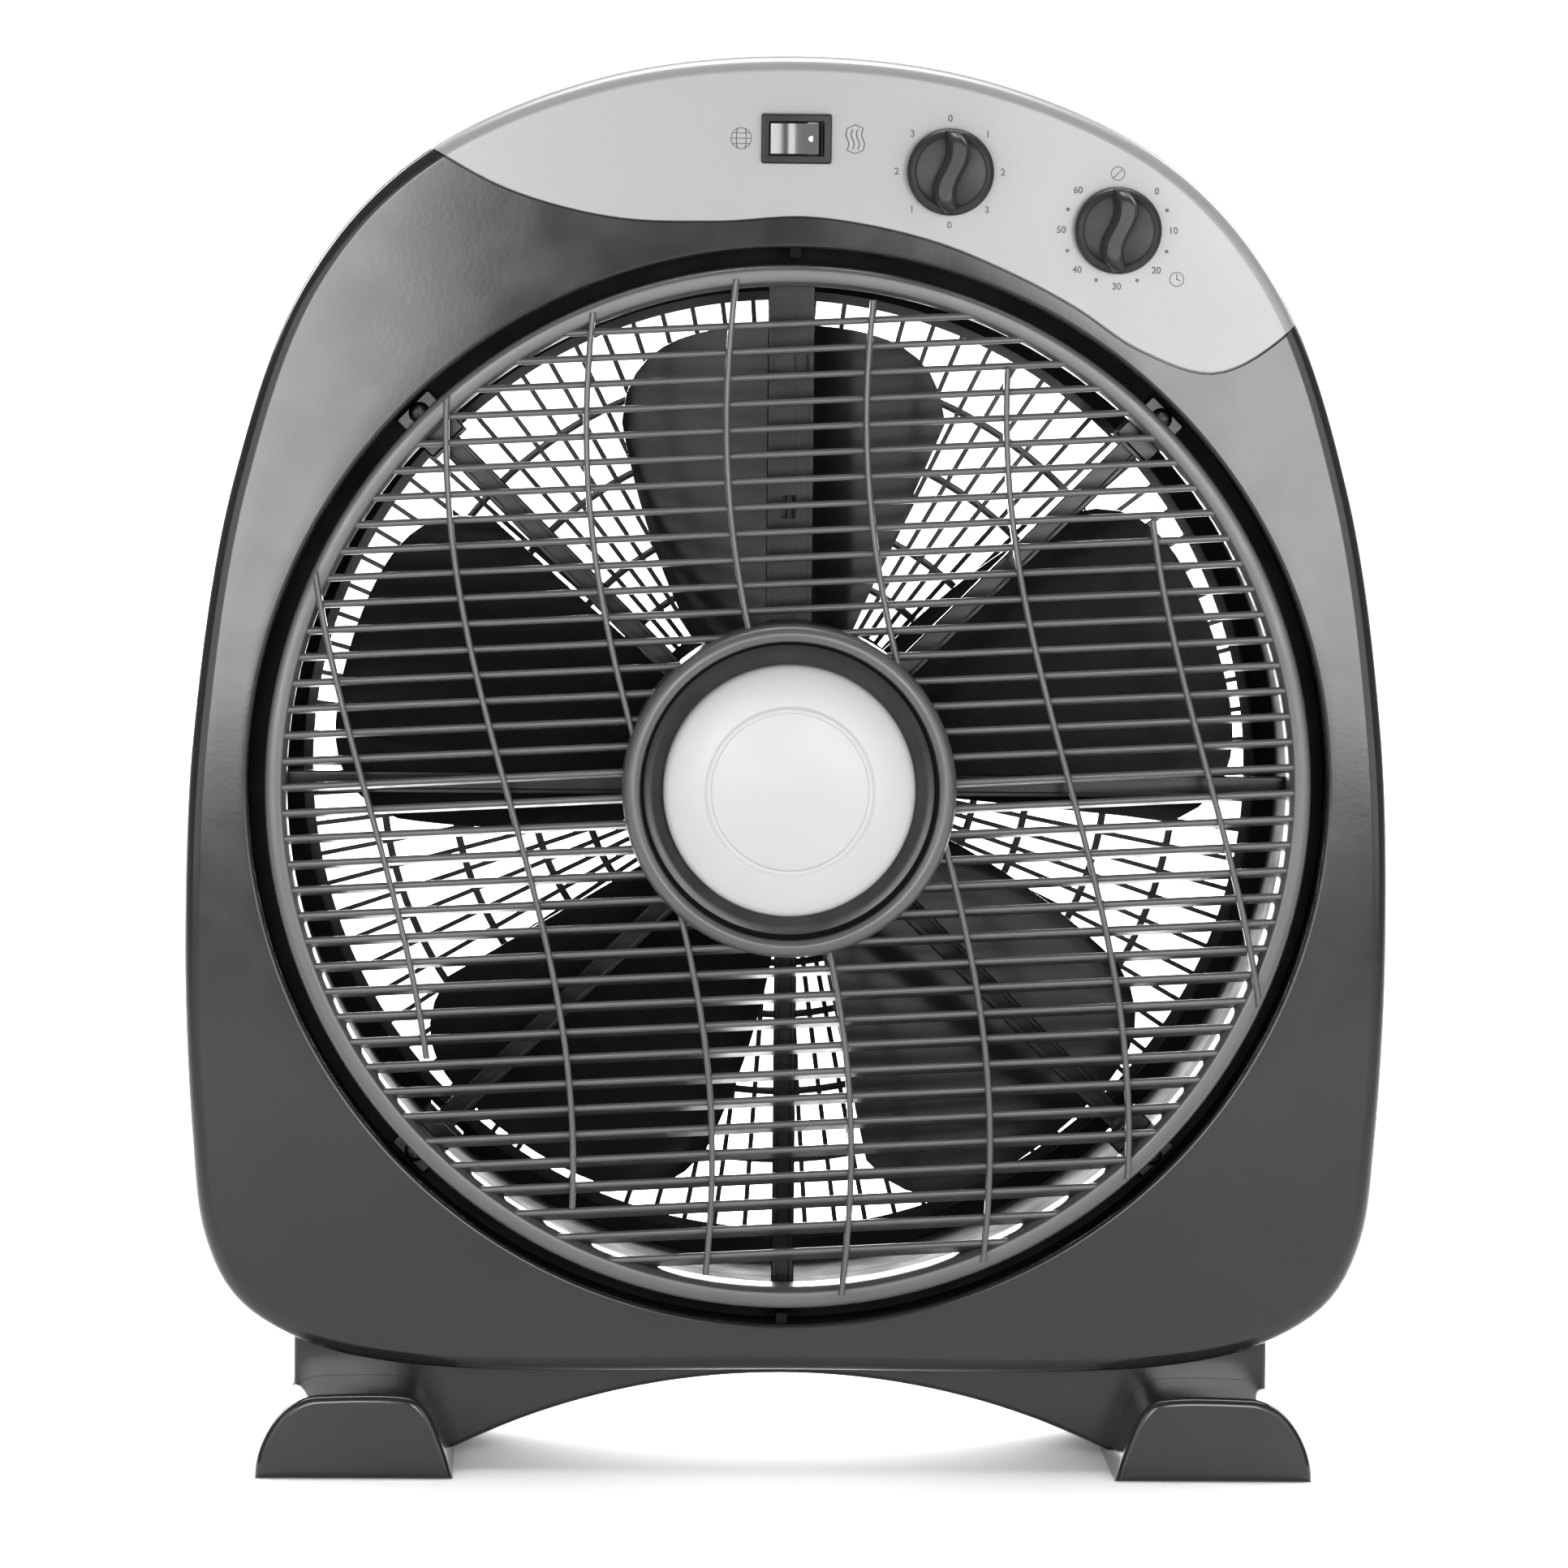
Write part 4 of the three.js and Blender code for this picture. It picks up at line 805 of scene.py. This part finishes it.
def rib(middle_x):
    """S-shaped rib in front of the slats, with a rounded front."""
    reach = math.sqrt((GRILLE_INNER_R + 3) ** 2 - min(abs(middle_x) + 8, 150) ** 2)
    front, back, half = GRILLE_FRONT_Y - RIB_PROUD, SLAT_FRONT_Y + 1.2, RIB_WIDTH / 2
    section = [(half, back), *[(a, b) for a, b in arc((0, front + half), half, 0, -180, 6)], (-half, back)]
    steps = 40
    rows = []
    for i in range(steps + 1):
        up = reach * (2 * i / steps - 1)
        x = middle_x + rib_sway(up)
        rows.append([(x + across, y, HUB_Z + up) for across, y in section])
    return loft(rows)


def slat(up):
    """Slat with a rounded front edge and a thinner back, its back edge tilted down."""
    half = math.sqrt((GRILLE_INNER_R + 3) ** 2 - up ** 2)
    thick = SLAT_THICKNESS / 2
    tilt = math.radians(SLAT_TILT_MIDDLE - SLAT_TILT_CHANGE * up / GRILLE_INNER_R)
    section = arc((thick, 0), thick, 90, 270, 8) + [(SLAT_DEPTH - 0.4, -thick * 0.6), (SLAT_DEPTH, 0)]
    section += [(SLAT_DEPTH - 0.4, thick * 0.6)]
    rows = []
    for x in (-half, half):
        row = []
        for back, rise in section:
            y = SLAT_FRONT_Y + back * math.cos(tilt) + rise * math.sin(tilt)
            row.append((x, y, HUB_Z + up - back * math.sin(tilt) + rise * math.cos(tilt)))
        rows.append(row)
    return loft(rows)


def rim_profile():
    front, back, outer, inner = GRILLE_FRONT_Y, GRILLE_BACK_Y, GRILLE_OUTER_R, GRILLE_INNER_R
    return [
        (outer, back), (outer, front + 1.8), (outer - 0.3, front + 0.9), (outer - 0.9, front + 0.3),
        (outer - 1.8, front), (inner + 2.2, front), (inner + 1.5, front + 0.4), (inner + 0.4, front + 2.6),
        (inner, front + 4.2), (inner, back),
    ]


def hub_profile():
    front, floor, outer, inner = HUB_FRONT_Y, HUB_FLOOR_Y, HUB_RING_R, HUB_RING_INNER_R
    return [
        (4.2, floor), (42, floor), (inner - 1.2, floor - 0.6), (inner, floor - 2), (inner, front + 2),
        (inner + 0.4, front + 0.9), (inner + 1.4, front + 0.15), (inner + 2.4, front),
        (outer - 2, front + 0.3), (outer - 0.8, front + 1.1), (outer, front + 2.8), (outer, -38),
        (outer - 2, -38), (outer - 2, -47.4), (8.5, -47.4), (8.5, -45.2), (4.2, -45.2),
    ]


def make_louvre_grille():
    last = int((GRILLE_INNER_R - 4) / SLAT_PITCH)
    slats = [slat(i * SLAT_PITCH) for i in range(-last, last + 1)]
    ribs = [rib((i - (RIB_COUNT - 1) / 2) * RIB_PITCH) for i in range(RIB_COUNT)]
    turn = -GRILLE_REST_TURN
    grille = make("louvre_grille_piece", turned(joined(slats), turn))
    combine(grille, "UNION", turned(joined(ribs), turn))
    combine(grille, "INTERSECT", rod(GRILLE_OUTER_R - 1.5, -56, -30, 192))
    combine(grille, "DIFFERENCE", rod(HUB_RING_R - 1, -80, 0, 96))
    combine(grille, "UNION", lathe(rim_profile(), 256, torus=True), lathe(hub_profile(), 128, torus=True))
    dress(grille, "shell_gloss", "louvre_rotor", "louvre_grille", look=GRILLE_SATIN)
    # Painted shade: the groove between the hub ring and the cap gets the darker black plastic, so it is
    # darker than the ring.
    painted_shade_look(grille, LOOKS["black_plastic"], HUB_FRONT_Y - 1, HUB_FLOOR_Y + 1, HUB_RING_INNER_R + 0.1)


def cap_profile():
    ring, edge = CAP_CIRCLE_R, CAP_R
    return [
        (0, -60.4), (8, -60.3), (16, -60.0), (ring - 1.6, -59.35), (ring - 0.9, -59.2), (ring - 0.5, -59.6),
        (ring + 0.5, -59.55), (ring + 0.9, -59.05), (ring + 1.6, -59.0), (30, -58.5), (34.5, -57.3),
        (37, -56.2), (38.2, -55.3), (edge, -54), (edge, -50.4), (edge - 1.6, -50.4), (edge - 2, -53.6),
        (24, -57), (0, -58.2),
    ]


# ---------------------------------------------------------------- bracket


def arm(width, inner_r, outer_r):
    """Channel that is open to the front, along +up."""
    half, wall, floor = width / 2, 1.3, BRACKET_FRONT_Y + 2.8
    section = [
        (-half, BRACKET_FRONT_Y + 0.4), (-half + 0.4, BRACKET_FRONT_Y), (-half + wall, BRACKET_FRONT_Y),
        (-half + wall + 0.3, floor), (half - wall - 0.3, floor), (half - wall, BRACKET_FRONT_Y),
        (half - 0.4, BRACKET_FRONT_Y), (half, BRACKET_FRONT_Y + 0.4), (half - 0.3, BRACKET_BACK_Y),
        (-half + 0.3, BRACKET_BACK_Y),
    ]
    return loft([[(x, y, HUB_Z + up) for x, y in section] for up in (inner_r, outer_r)])


def make_bracket():
    disc = lathe([(BRACKET_DISC_R - 0.6, BRACKET_BACK_Y), (BRACKET_DISC_R, BRACKET_BACK_Y - 0.6),
                  (BRACKET_DISC_R, BRACKET_BACK_Y - 2.4), (BRACKET_DISC_R - 0.6, BRACKET_BACK_Y - 3)], 96)
    arms = [turned(arm(ARM_WIDTH, BRACKET_DISC_R - 3, ARM_END_R), 45 * i) for i in range(1, 8)]
    arms.append(arm(DUCT_WIDTH, BRACKET_DISC_R - 4, ARM_END_R))
    pad = block(-PAD_HALF, PAD_HALF, PAD_FRONT_Y, BRACKET_FRONT_Y - GAP, *PAD_UP, 1)
    neck = block(-PAD_HALF, PAD_HALF, PAD_FRONT_Y + 1, BRACKET_BACK_Y - 1, *NECK_UP)
    pads = [turned(pad, degrees) for degrees in DIAGONALS]
    necks = [turned(neck, degrees) for degrees in DIAGONALS]
    bracket = make("grille_bracket_piece", disc)
    combine(bracket, "UNION", joined(arms), joined(pads), joined(necks))
    return dress(bracket, "black_plastic", "housing", "grille_bracket")


def make_duct_cover():
    half = DUCT_WIDTH / 2
    front, back = BRACKET_FRONT_Y - 2, BRACKET_FRONT_Y - GAP
    cover = make("duct_cover_piece", block(-half, half, front, back, *DUCT_UP, 0.6))
    low, high = DUCT_UP
    rails = [
        block(x - 0.6, x + 0.6, front - 1, front + 0.5, low + 2, high - 2)
        for x in (-half + 0.9, half - 0.9, 2.6)
    ]
    combine(cover, "UNION", joined(rails))
    wide, tall = DUCT_SLOT_HALF
    slots = [
        block(x - wide, x + wide, front - 4, back + 1, up - tall, up + tall, 0.5) for x, up in DUCT_SLOTS
    ]
    combine(cover, "DIFFERENCE", joined(slots))
    return dress(cover, "black_plastic", "housing", "duct_cover")


# ---------------------------------------------------------------- impeller and rear grille


def mix(pair, share):
    return pair[0] + (pair[1] - pair[0]) * share


def blade(degrees):
    """Twisted, cambered blade that thins towards its edges."""
    across, outward = 22, 16
    rows = []
    for j in range(outward + 1):
        t = j / outward
        front, back = [], []
        for i in range(across + 1):
            s = i / across
            tip = BLADE_TIP_R - BLADE_TIP_ROUNDING * abs(2 * s - 1) ** 5
            radius = BLADE_ROOT_R + (tip - BLADE_ROOT_R) * t
            turn = degrees + mix((mix(BLADE_LEADING_TURN, t), BLADE_TRAILING_TURN), s)
            x, up = polar(radius, turn)
            y = mix((mix(BLADE_LEADING_Y, t), BLADE_TRAILING_Y), s) + BLADE_CAMBER * math.sin(math.pi * s) * t
            taper = (1 - 0.75 * abs(2 * s - 1) ** 6) * (1 - 0.6 * t ** 10)
            half = BLADE_THICKNESS / 2 * taper
            front.append((x, y - half, HUB_Z + up))
            back.append((x, y + half, HUB_Z + up))
        rows.append(front + back[::-1])
    points, faces = loft(rows)
    count = len(rows[0])
    faces = faces[:-2]
    for start in (0, outward * count):
        for i in range(across):
            faces.append((start + i, start + i + 1, start + count - 2 - i, start + count - 1 - i))
    return points, faces


def make_impeller():
    bore, rim = SHAFT_R + GAP, IMPELLER_HUB_R
    hub = lathe([
        (bore, -18), (rim - 4, -18), (rim - 1.4, -17.2), (rim - 0.3, -15.6), (rim, -14), (rim, 5.5),
        (rim - 2.4, 5.5), (rim - 2.4, -14.5), (9, -15), (9, 4), (bore, 4),
    ], 96, torus=True)
    blades = [blade(360 * i / BLADE_COUNT) for i in range(BLADE_COUNT)]
    impeller = make("impeller_piece", joined(blades))
    combine(impeller, "DIFFERENCE", rod(rim - 1.4, -30, 20, 96))
    combine(impeller, "UNION", hub)
    return dress(impeller, "smoke_plastic", "fan_rotor", "impeller")


def make_rear_grille():
    front, back = REAR_GRILLE_FRONT_Y, BACK_Y
    inner, outer = REAR_RIM_INNER_R - 2, REAR_GRILLE_R
    rim = lathe([
        (outer, front), (outer, back - 0.5), (outer - 0.5, back), (inner + 0.6, back), (inner, back - 0.6),
        (inner, front),
    ], 192, torus=True)
    disc = lathe([(REAR_DISC_R, front), (REAR_DISC_R, back - 0.8), (REAR_DISC_R - 0.8, back)], 128)
    rings = []
    for radius in REAR_RING_RADII:
        section = rounded_rectangle(REAR_RING_HALF, REAR_RING_HALF, 0.5, 2)
        rings.append(lathe([(radius + a, (front + back) / 2 + b) for a, b in section], 160, torus=True))
    half = REAR_SPOKE_HALF
    spoke = block(-half, half, front + 0.3, back - 0.3, REAR_DISC_R - 1.5, inner + 1)
    spokes = joined(turned(spoke, 360 * i / REAR_SPOKES) for i in range(REAR_SPOKES))
    grille = make("rear_grille_piece", spokes)
    combine(grille, "UNION", joined(rings), rim, disc)
    holes = [polar(radius, d) for radius in (REAR_SCREW_CIRCLE_R, MOTOR_SCREW_CIRCLE_R) for d in DIAGONALS]
    combine(grille, "DIFFERENCE", rods(SCREW_BORE_R, front - 1, back + 1, 20, holes))
    return dress(grille, "black_plastic", "housing", "rear_grille")


# ---------------------------------------------------------------- controls


def knob(name, node, at):
    """Round skirt with a raised S-shaped grip."""
    x, up = at
    base, front = FRONT_Y - 0.7, FRONT_Y - 7
    skirt = lathe([
        (KNOB_R - 0.4, base), (KNOB_R, base - 0.4), (KNOB_R, front + 1.8), (KNOB_R - 0.4, front + 0.9),
        (KNOB_R - 1.2, front + 0.3), (KNOB_R - 2.2, front), (KNOB_R - 3, front + 0.5), (4, front + 0.9),
        (0, front + 1),
    ], 72, at)
    rows, steps = [], 24
    reach = KNOB_R - 0.7
    for i in range(steps + 1):
        along = reach * (2 * i / steps - 1)
        ends = 1 - abs(along / reach) ** 6
        half = 1.5 + 2.1 * ends
        top = front - (-KNOB_FRONT_Y + front) * (0.55 + 0.45 * ends) + 0.02
        lean = 2.1 * math.sin(math.pi * along / reach)
        section = [(half + 0.5, front + 2), (half, front - 1)]
        section += arc((0, top + half * 0.5), half * 0.8, 0, -180, 8)
        section += [(-half, front - 1), (-half - 0.5, front + 2)]
        rows.append([(x + lean + a, max(b, KNOB_FRONT_Y), HUB_Z + up + along) for a, b in section])
    piece = make(name, skirt)
    combine(piece, "UNION", loft(rows))
    return dress(piece, SLOT_OF[node], BODY_OF[node], node, sharp=40, look=KNOB_SATIN)


def make_rocker():
    x, up = ROCKER_AT
    wide, high = ROCKER_HALF
    outline = [(x + a, up + b) for a, b in rounded_rectangle(wide, high, 0.8)]
    bezel = make("rocker_frame_piece", prism(outline, FRONT_Y - 2.2, FRONT_Y - GAP / 2, 0.6, 0, 3))
    inside = ROCKER_HOLE_HALF[0] - GAP, ROCKER_HOLE_HALF[1] - GAP
    box_part = block(x - inside[0], x + inside[0], FRONT_Y - 1, FRONT_Y + 20, up - inside[1], up + inside[1])
    combine(bezel, "UNION", box_part)
    opening = [(x + a, up + b) for a, b in rounded_rectangle(8.5, 5.4, 0.5)]
    combine(bezel, "DIFFERENCE", prism(opening, FRONT_Y - 5, FRONT_Y + 10))
    dress(bezel, "black_plastic", "housing", "rocker_frame")
    profile = [
        (-7.6, -4.4), (-7.2, -4.7), (-3.6, -3.6), (0, -3.2), (3.6, -3.6), (7.2, -4.7), (7.6, -4.4),
        (7.2, 2), (0, 4.5), (-7.2, 2),
    ]
    tilt = Matrix.Rotation(math.radians(-ROCKER_TILT), 2)
    rows = []
    for rise, shrink in ((-4.95, 0.3), (-4.6, 0), (4.6, 0), (4.95, 0.3)):
        section = [tilt @ Vector(point) for point in inset(profile, shrink)]
        rows.append([(x + p.x, ROCKER_PIVOT_Y + p.y, HUB_Z + up + rise) for p in section])
    dress(make("rocker_paddle_piece", loft(rows)), "black_gloss", "rocker", "rocker_paddle")
    dot = tilt @ Vector((5.3, -4.15))
    spot = lathe([(0.85, 0.2), (0.85, -0.12), (0.7, -0.2), (0, -0.2)], 24, (x + dot.x, up))
    points = [(px, py + ROCKER_PIVOT_Y + dot.y, pz) for px, py, pz in spot[0]]
    dress(make("rocker_dot", (points, spot[1])), None, "rocker", look=WHITE_INK)


# ---------------------------------------------------------------- printing on the panel

PRINT_Y = FRONT_Y - 0.03
PRINT_BACK_Y = FRONT_Y + 0.05
RING_LINE = 0.28


def stroke(path, width):
    """Flat line of ink through points (x, up)."""
    shapes = []
    for (ax, aup), (bx, bup) in zip(path, path[1:]):
        along = Vector((bx - ax, bup - aup)).normalized() * width / 2
        across = Vector((-along.y, along.x))
        corners = [Vector((ax, aup)) - along + across, Vector((ax, aup)) - along - across,
                   Vector((bx, bup)) + along - across, Vector((bx, bup)) + along + across]
        shapes.append(prism([tuple(c) for c in corners], PRINT_Y, PRINT_BACK_Y))
    return joined(shapes)


def ink_ring(at, radius):
    inner = radius - RING_LINE
    profile = [(inner, PRINT_BACK_Y), (inner, PRINT_Y), (radius, PRINT_Y), (radius, PRINT_BACK_Y)]
    return lathe(profile, 48, at, torus=True)


def ink_dot(at, radius):
    return rod(radius, PRINT_BACK_Y, PRINT_Y, 16, at)


def numeral(words, at, size):
    """Flat digits centred on a point of the panel."""
    curve = bpy.data.curves.new("numeral", "FONT")
    curve.body = words
    curve.size = size
    curve.align_x = "CENTER"
    curve.align_y = "CENTER"
    curve.extrude = 0.04
    curve.offset = 0.07
    holder = bpy.data.objects.new("numeral", curve)
    bpy.context.scene.collection.objects.link(holder)
    graph = bpy.context.evaluated_depsgraph_get()
    graph.update()
    mesh = bpy.data.meshes.new_from_object(holder.evaluated_get(graph))
    points = [(at[0] + v.co.x, FRONT_Y + 0.01 - v.co.z, HUB_Z + at[1] + v.co.y) for v in mesh.vertices]
    faces = [tuple(p.vertices) for p in mesh.polygons]
    bpy.data.objects.remove(holder)
    bpy.data.meshes.remove(mesh)
    bpy.data.curves.remove(curve)
    return points, faces


def around(at, radius, degrees):
    x, up = polar(radius, degrees)
    return at[0] + x, at[1] + up


def make_speed_scale():
    marks = [numeral(str(i % 4), around(SPEED_AT, 16.3, 45 * i), 3.0) for i in range(8)]
    dress(make("speed_scale", *marks), None, "housing", look=INK)


def make_timer_scale():
    marks = [numeral("0", around(TIMER_AT, 17.0, 45), 2.9)]
    for i in range(6):
        marks.append(numeral(str(10 * (i + 1)), around(TIMER_AT, 17.2, 90 + 45 * i), 2.9))
        marks.append(ink_dot(around(TIMER_AT, 16.5, 67.5 + 45 * i), 0.6))
    sign_x, sign_up = around(TIMER_AT, 17.4, 0)
    slash = [(sign_x - 1.3, sign_up - 1.3), (sign_x + 1.3, sign_up + 1.3)]
    marks += [ink_ring((sign_x, sign_up), 2.2), stroke(slash, 0.3)]
    clock = (TIMER_AT[0] + 18.5, TIMER_AT[1] - 14.8)
    hands = [(clock[0], clock[1] + 1.4), clock, (clock[0] + 1.0, clock[1] - 0.4)]
    marks += [ink_ring(clock, 2.3), stroke(hands, 0.32)]
    dress(make("timer_scale", *marks), None, "housing", look=INK)


def make_rocker_icons():
    x, up = ROCKER_AT
    still = (x - 16.9, up)
    shapes = [ink_ring(still, 3.3)]
    for row in (-1.6, 0, 1.6):
        half = math.sqrt(3.1 ** 2 - row ** 2)
        shapes.append(stroke([(still[0] - half, still[1] + row), (still[0] + half, still[1] + row)], 0.28))
    for lean in (-1.1, 1.1):
        turns = [math.pi * k / 12 - math.pi / 2 for k in range(13)]
        bow = [(still[0] + lean * (1 + 0.35 * math.cos(t)), still[1] + 3 * math.sin(t)) for t in turns]
        shapes.append(stroke(bow, 0.26))
    swing = x + 18
    for k in range(4):
        wave = []
        for i in range(13):
            t = i / 12
            wave.append((swing - 2.4 + 1.6 * k + 0.45 * math.sin(2 * math.pi * t), up - 3 + 6 * t))
        shapes.append(stroke(wave, 0.3))
    for side in (-1, 1):
        tip = up + side * 4.4
        foot = tip - side * 1.1
        shapes.append(stroke([(swing - 2.6, foot), (swing, tip), (swing + 2.6, foot)], 0.3))
    dress(make("rocker_icons", *shapes), None, "housing", look=INK)


# ---------------------------------------------------------------- fasteners and inner pieces


def screw(node, at, head_y, length, into, look=None):
    """Pan-head screw with a cross recess; into is +1 or -1 along Y."""
    head = [(0, 0), (1.4, 0.06), (SCREW_HEAD_R - 1, 0.3), (SCREW_HEAD_R - 0.3, 0.8), (SCREW_HEAD_R, 1.3),
            (SCREW_HEAD_R, SCREW_HEAD), (SCREW_R, SCREW_HEAD)]
    for i in range(int(length / SCREW_PITCH)):
        start = SCREW_HEAD + 0.4 + i * SCREW_PITCH
        head += [(SCREW_R - 0.35, start), (SCREW_R, start + 0.5)]
    head += [(SCREW_R - 0.3, SCREW_HEAD + length), (0, SCREW_HEAD + length)]
    piece = make(node + "_piece", lathe([(r, head_y + into * d) for r, d in head], 40, at))
    x, up = at
    near, deep = sorted((head_y - into * 1, head_y + into * 1.2))
    for wide, high in ((1.9, 0.42), (0.42, 1.9)):
        combine(piece, "DIFFERENCE", block(x - wide, x + wide, near, deep, up - high, up + high))
    return dress(piece, SLOT_OF[node], BODY_OF[node], node, look=look)


def make_screws():
    for i, at in enumerate(SHELL_SCREWS, 1):
        screw(f"shell_screw_{i}", at, SHELL_SCREW_SEAT_Y + GAP + SCREW_HEAD, 24, -1)
    back_head_y, pad_head_y = BACK_Y + GAP + SCREW_HEAD, PAD_FRONT_Y - GAP - SCREW_HEAD
    for i, degrees in enumerate(DIAGONALS, 1):
        screw(f"rear_grille_screw_{i}", polar(REAR_SCREW_CIRCLE_R, degrees), back_head_y, 6, -1)
        screw(f"motor_screw_{i}", polar(MOTOR_SCREW_CIRCLE_R, degrees), back_head_y, 6, -1)
        # The bracket screws take the near-black steel as painted shade in the gap.
        screw(f"bracket_screw_{i}", polar(BRACKET_SCREW_CIRCLE_R, degrees), pad_head_y, 7, 1, SHADE_DARK_STEEL)


def make_gland():
    sleeve = GLAND_HOLE_R - GAP
    gland = lathe([
        (3.4, BACK_Y + 9), (4.6, BACK_Y + 9), (5, BACK_Y + 8.4), (5.1, BACK_Y + 6.2), (4.5, BACK_Y + 5.9),
        (4.7, BACK_Y + 4.6), (5.3, BACK_Y + 4.3), (5.3, BACK_Y + 2.2), (7.6, BACK_Y + 2), (8, BACK_Y + 1.6),
        (8, BACK_Y + GAP), (sleeve, BACK_Y + GAP), (sleeve, BACK_Y - 5), (3.4, BACK_Y - 5),
    ], 48, GLAND_AT, torus=True)
    dress(make("cord_gland_piece", gland), SLOT_OF["cord_gland"], "housing", "cord_gland")


def dress_cad_nodes():
    """Gives every CAD node that still shows the material of its slot."""
    for name, obj in frame["nodes"].items():
        if not obj.hide_render:
            obj.data.materials.clear()
            obj.data.materials.append(LOOKS[SLOT_OF[name]])


# ---------------------------------------------------------------- studio
# Sizes and places here are in metres.

FLOOR_HALF = 9.0
WALL_Y = 5.6
WALL_TOP = 7.0
BACKDROP_BEND = 1.2
BEND_STEPS = 12


def make_floor():
    """Pale floor that bends up into a backdrop."""
    profile = [(-FLOOR_HALF, 0.0), (WALL_Y - BACKDROP_BEND, 0.0)]
    for i in range(1, BEND_STEPS + 1):
        turn = math.radians(90 * i / BEND_STEPS)
        profile.append((WALL_Y - BACKDROP_BEND * (1 - math.sin(turn)), BACKDROP_BEND * (1 - math.cos(turn))))
    profile.append((WALL_Y, WALL_TOP))
    points = [(x, y, z) for y, z in profile for x in (-FLOOR_HALF, FLOOR_HALF)]
    faces = [(2 * i, 2 * i + 1, 2 * i + 3, 2 * i + 2) for i in range(len(profile) - 1)]
    mesh = bpy.data.meshes.new("floor")
    mesh.from_pydata(points, [], faces)
    mesh.polygons.foreach_set("use_smooth", [True] * len(faces))
    floor = bpy.data.objects.new("floor", mesh)
    bpy.context.scene.collection.objects.link(floor)
    nodes = Nodes("floor")
    nodes.link(nodes.tint(nodes.noise(3), (0.9, 0.9, 0.9), 0.99, 1.01), nodes.shader.inputs["Base Color"])
    nodes.shader.inputs["Roughness"].default_value = 0.8
    mesh.materials.append(nodes.material)


def soft_light(name, place, aim, size, radiance, spread=180):
    """Rectangular light; a spread under 180 narrows it, as a grid does on a softbox."""
    data = bpy.data.lights.new(name, "AREA")
    data.shape = "RECTANGLE"
    data.size, data.size_y = size
    data.energy = radiance * math.pi * size[0] * size[1]
    data.spread = math.radians(spread)
    light = bpy.data.objects.new(name, data)
    bpy.context.scene.collection.objects.link(light)
    light.location = place
    light.rotation_euler = (Vector(aim) - Vector(place)).to_track_quat("-Z", "Y").to_euler()
    light.visible_camera = False


def make_studio():
    make_floor()
    soft_light("box_left", (-0.295, -1.4, 0.385), (-0.295, 0, 0.385), (0.34, 0.53), 15)
    soft_light("box_right", (0.31, -1.4, 0.385), (0.31, 0, 0.385), (0.31, 0.53), 15)
    for side, name in ((-1, "left"), (1, "right")):
        soft_light("wide_" + name, (side * 1.0, -1.15, 0.5), (0, 0, 0.25), (1.2, 0.9), 2.6)
        soft_light("backdrop_" + name, (side * 2.0, WALL_Y - 4, 1.9), (0, WALL_Y - 1.6, 0.4), (1.6, 1.6), 28)
    soft_light("rear", (0, 0.95, 0.32), (0, 0.1, 0.03), (0.9, 0.36), 24)
    soft_light("top", (0, 0.2, 1.1), (0, 0.2, 0), (1.6, 0.6), 2.8, 64)
    world = bpy.data.worlds.new("studio")
    bpy.context.scene.world = world
    world.use_nodes = True
    world.node_tree.nodes["Background"].inputs["Color"].default_value = (1, 1, 1, 1)
    world.node_tree.nodes["Background"].inputs["Strength"].default_value = 0.2
    bpy.context.scene.view_settings.view_transform = "Standard"


# ---------------------------------------------------------------- assembly

make_front_shell()
make_control_panel()
make_rear_shell()
make_foot("left", -1)
make_foot("right", 1)
make_louvre_grille()
dress(make("hub_cap_piece", lathe(cap_profile(), 128)), "cap_white", "louvre_rotor", "hub_cap", sharp=50)
make_bracket()
make_duct_cover()
make_impeller()
make_rear_grille()
knob("speed_knob_piece", "speed_knob", SPEED_AT)
knob("timer_knob_piece", "timer_knob", TIMER_AT)
make_rocker()
make_speed_scale()
make_timer_scale()
make_rocker_icons()
make_screws()
make_gland()
dress_cad_nodes()
make_studio()
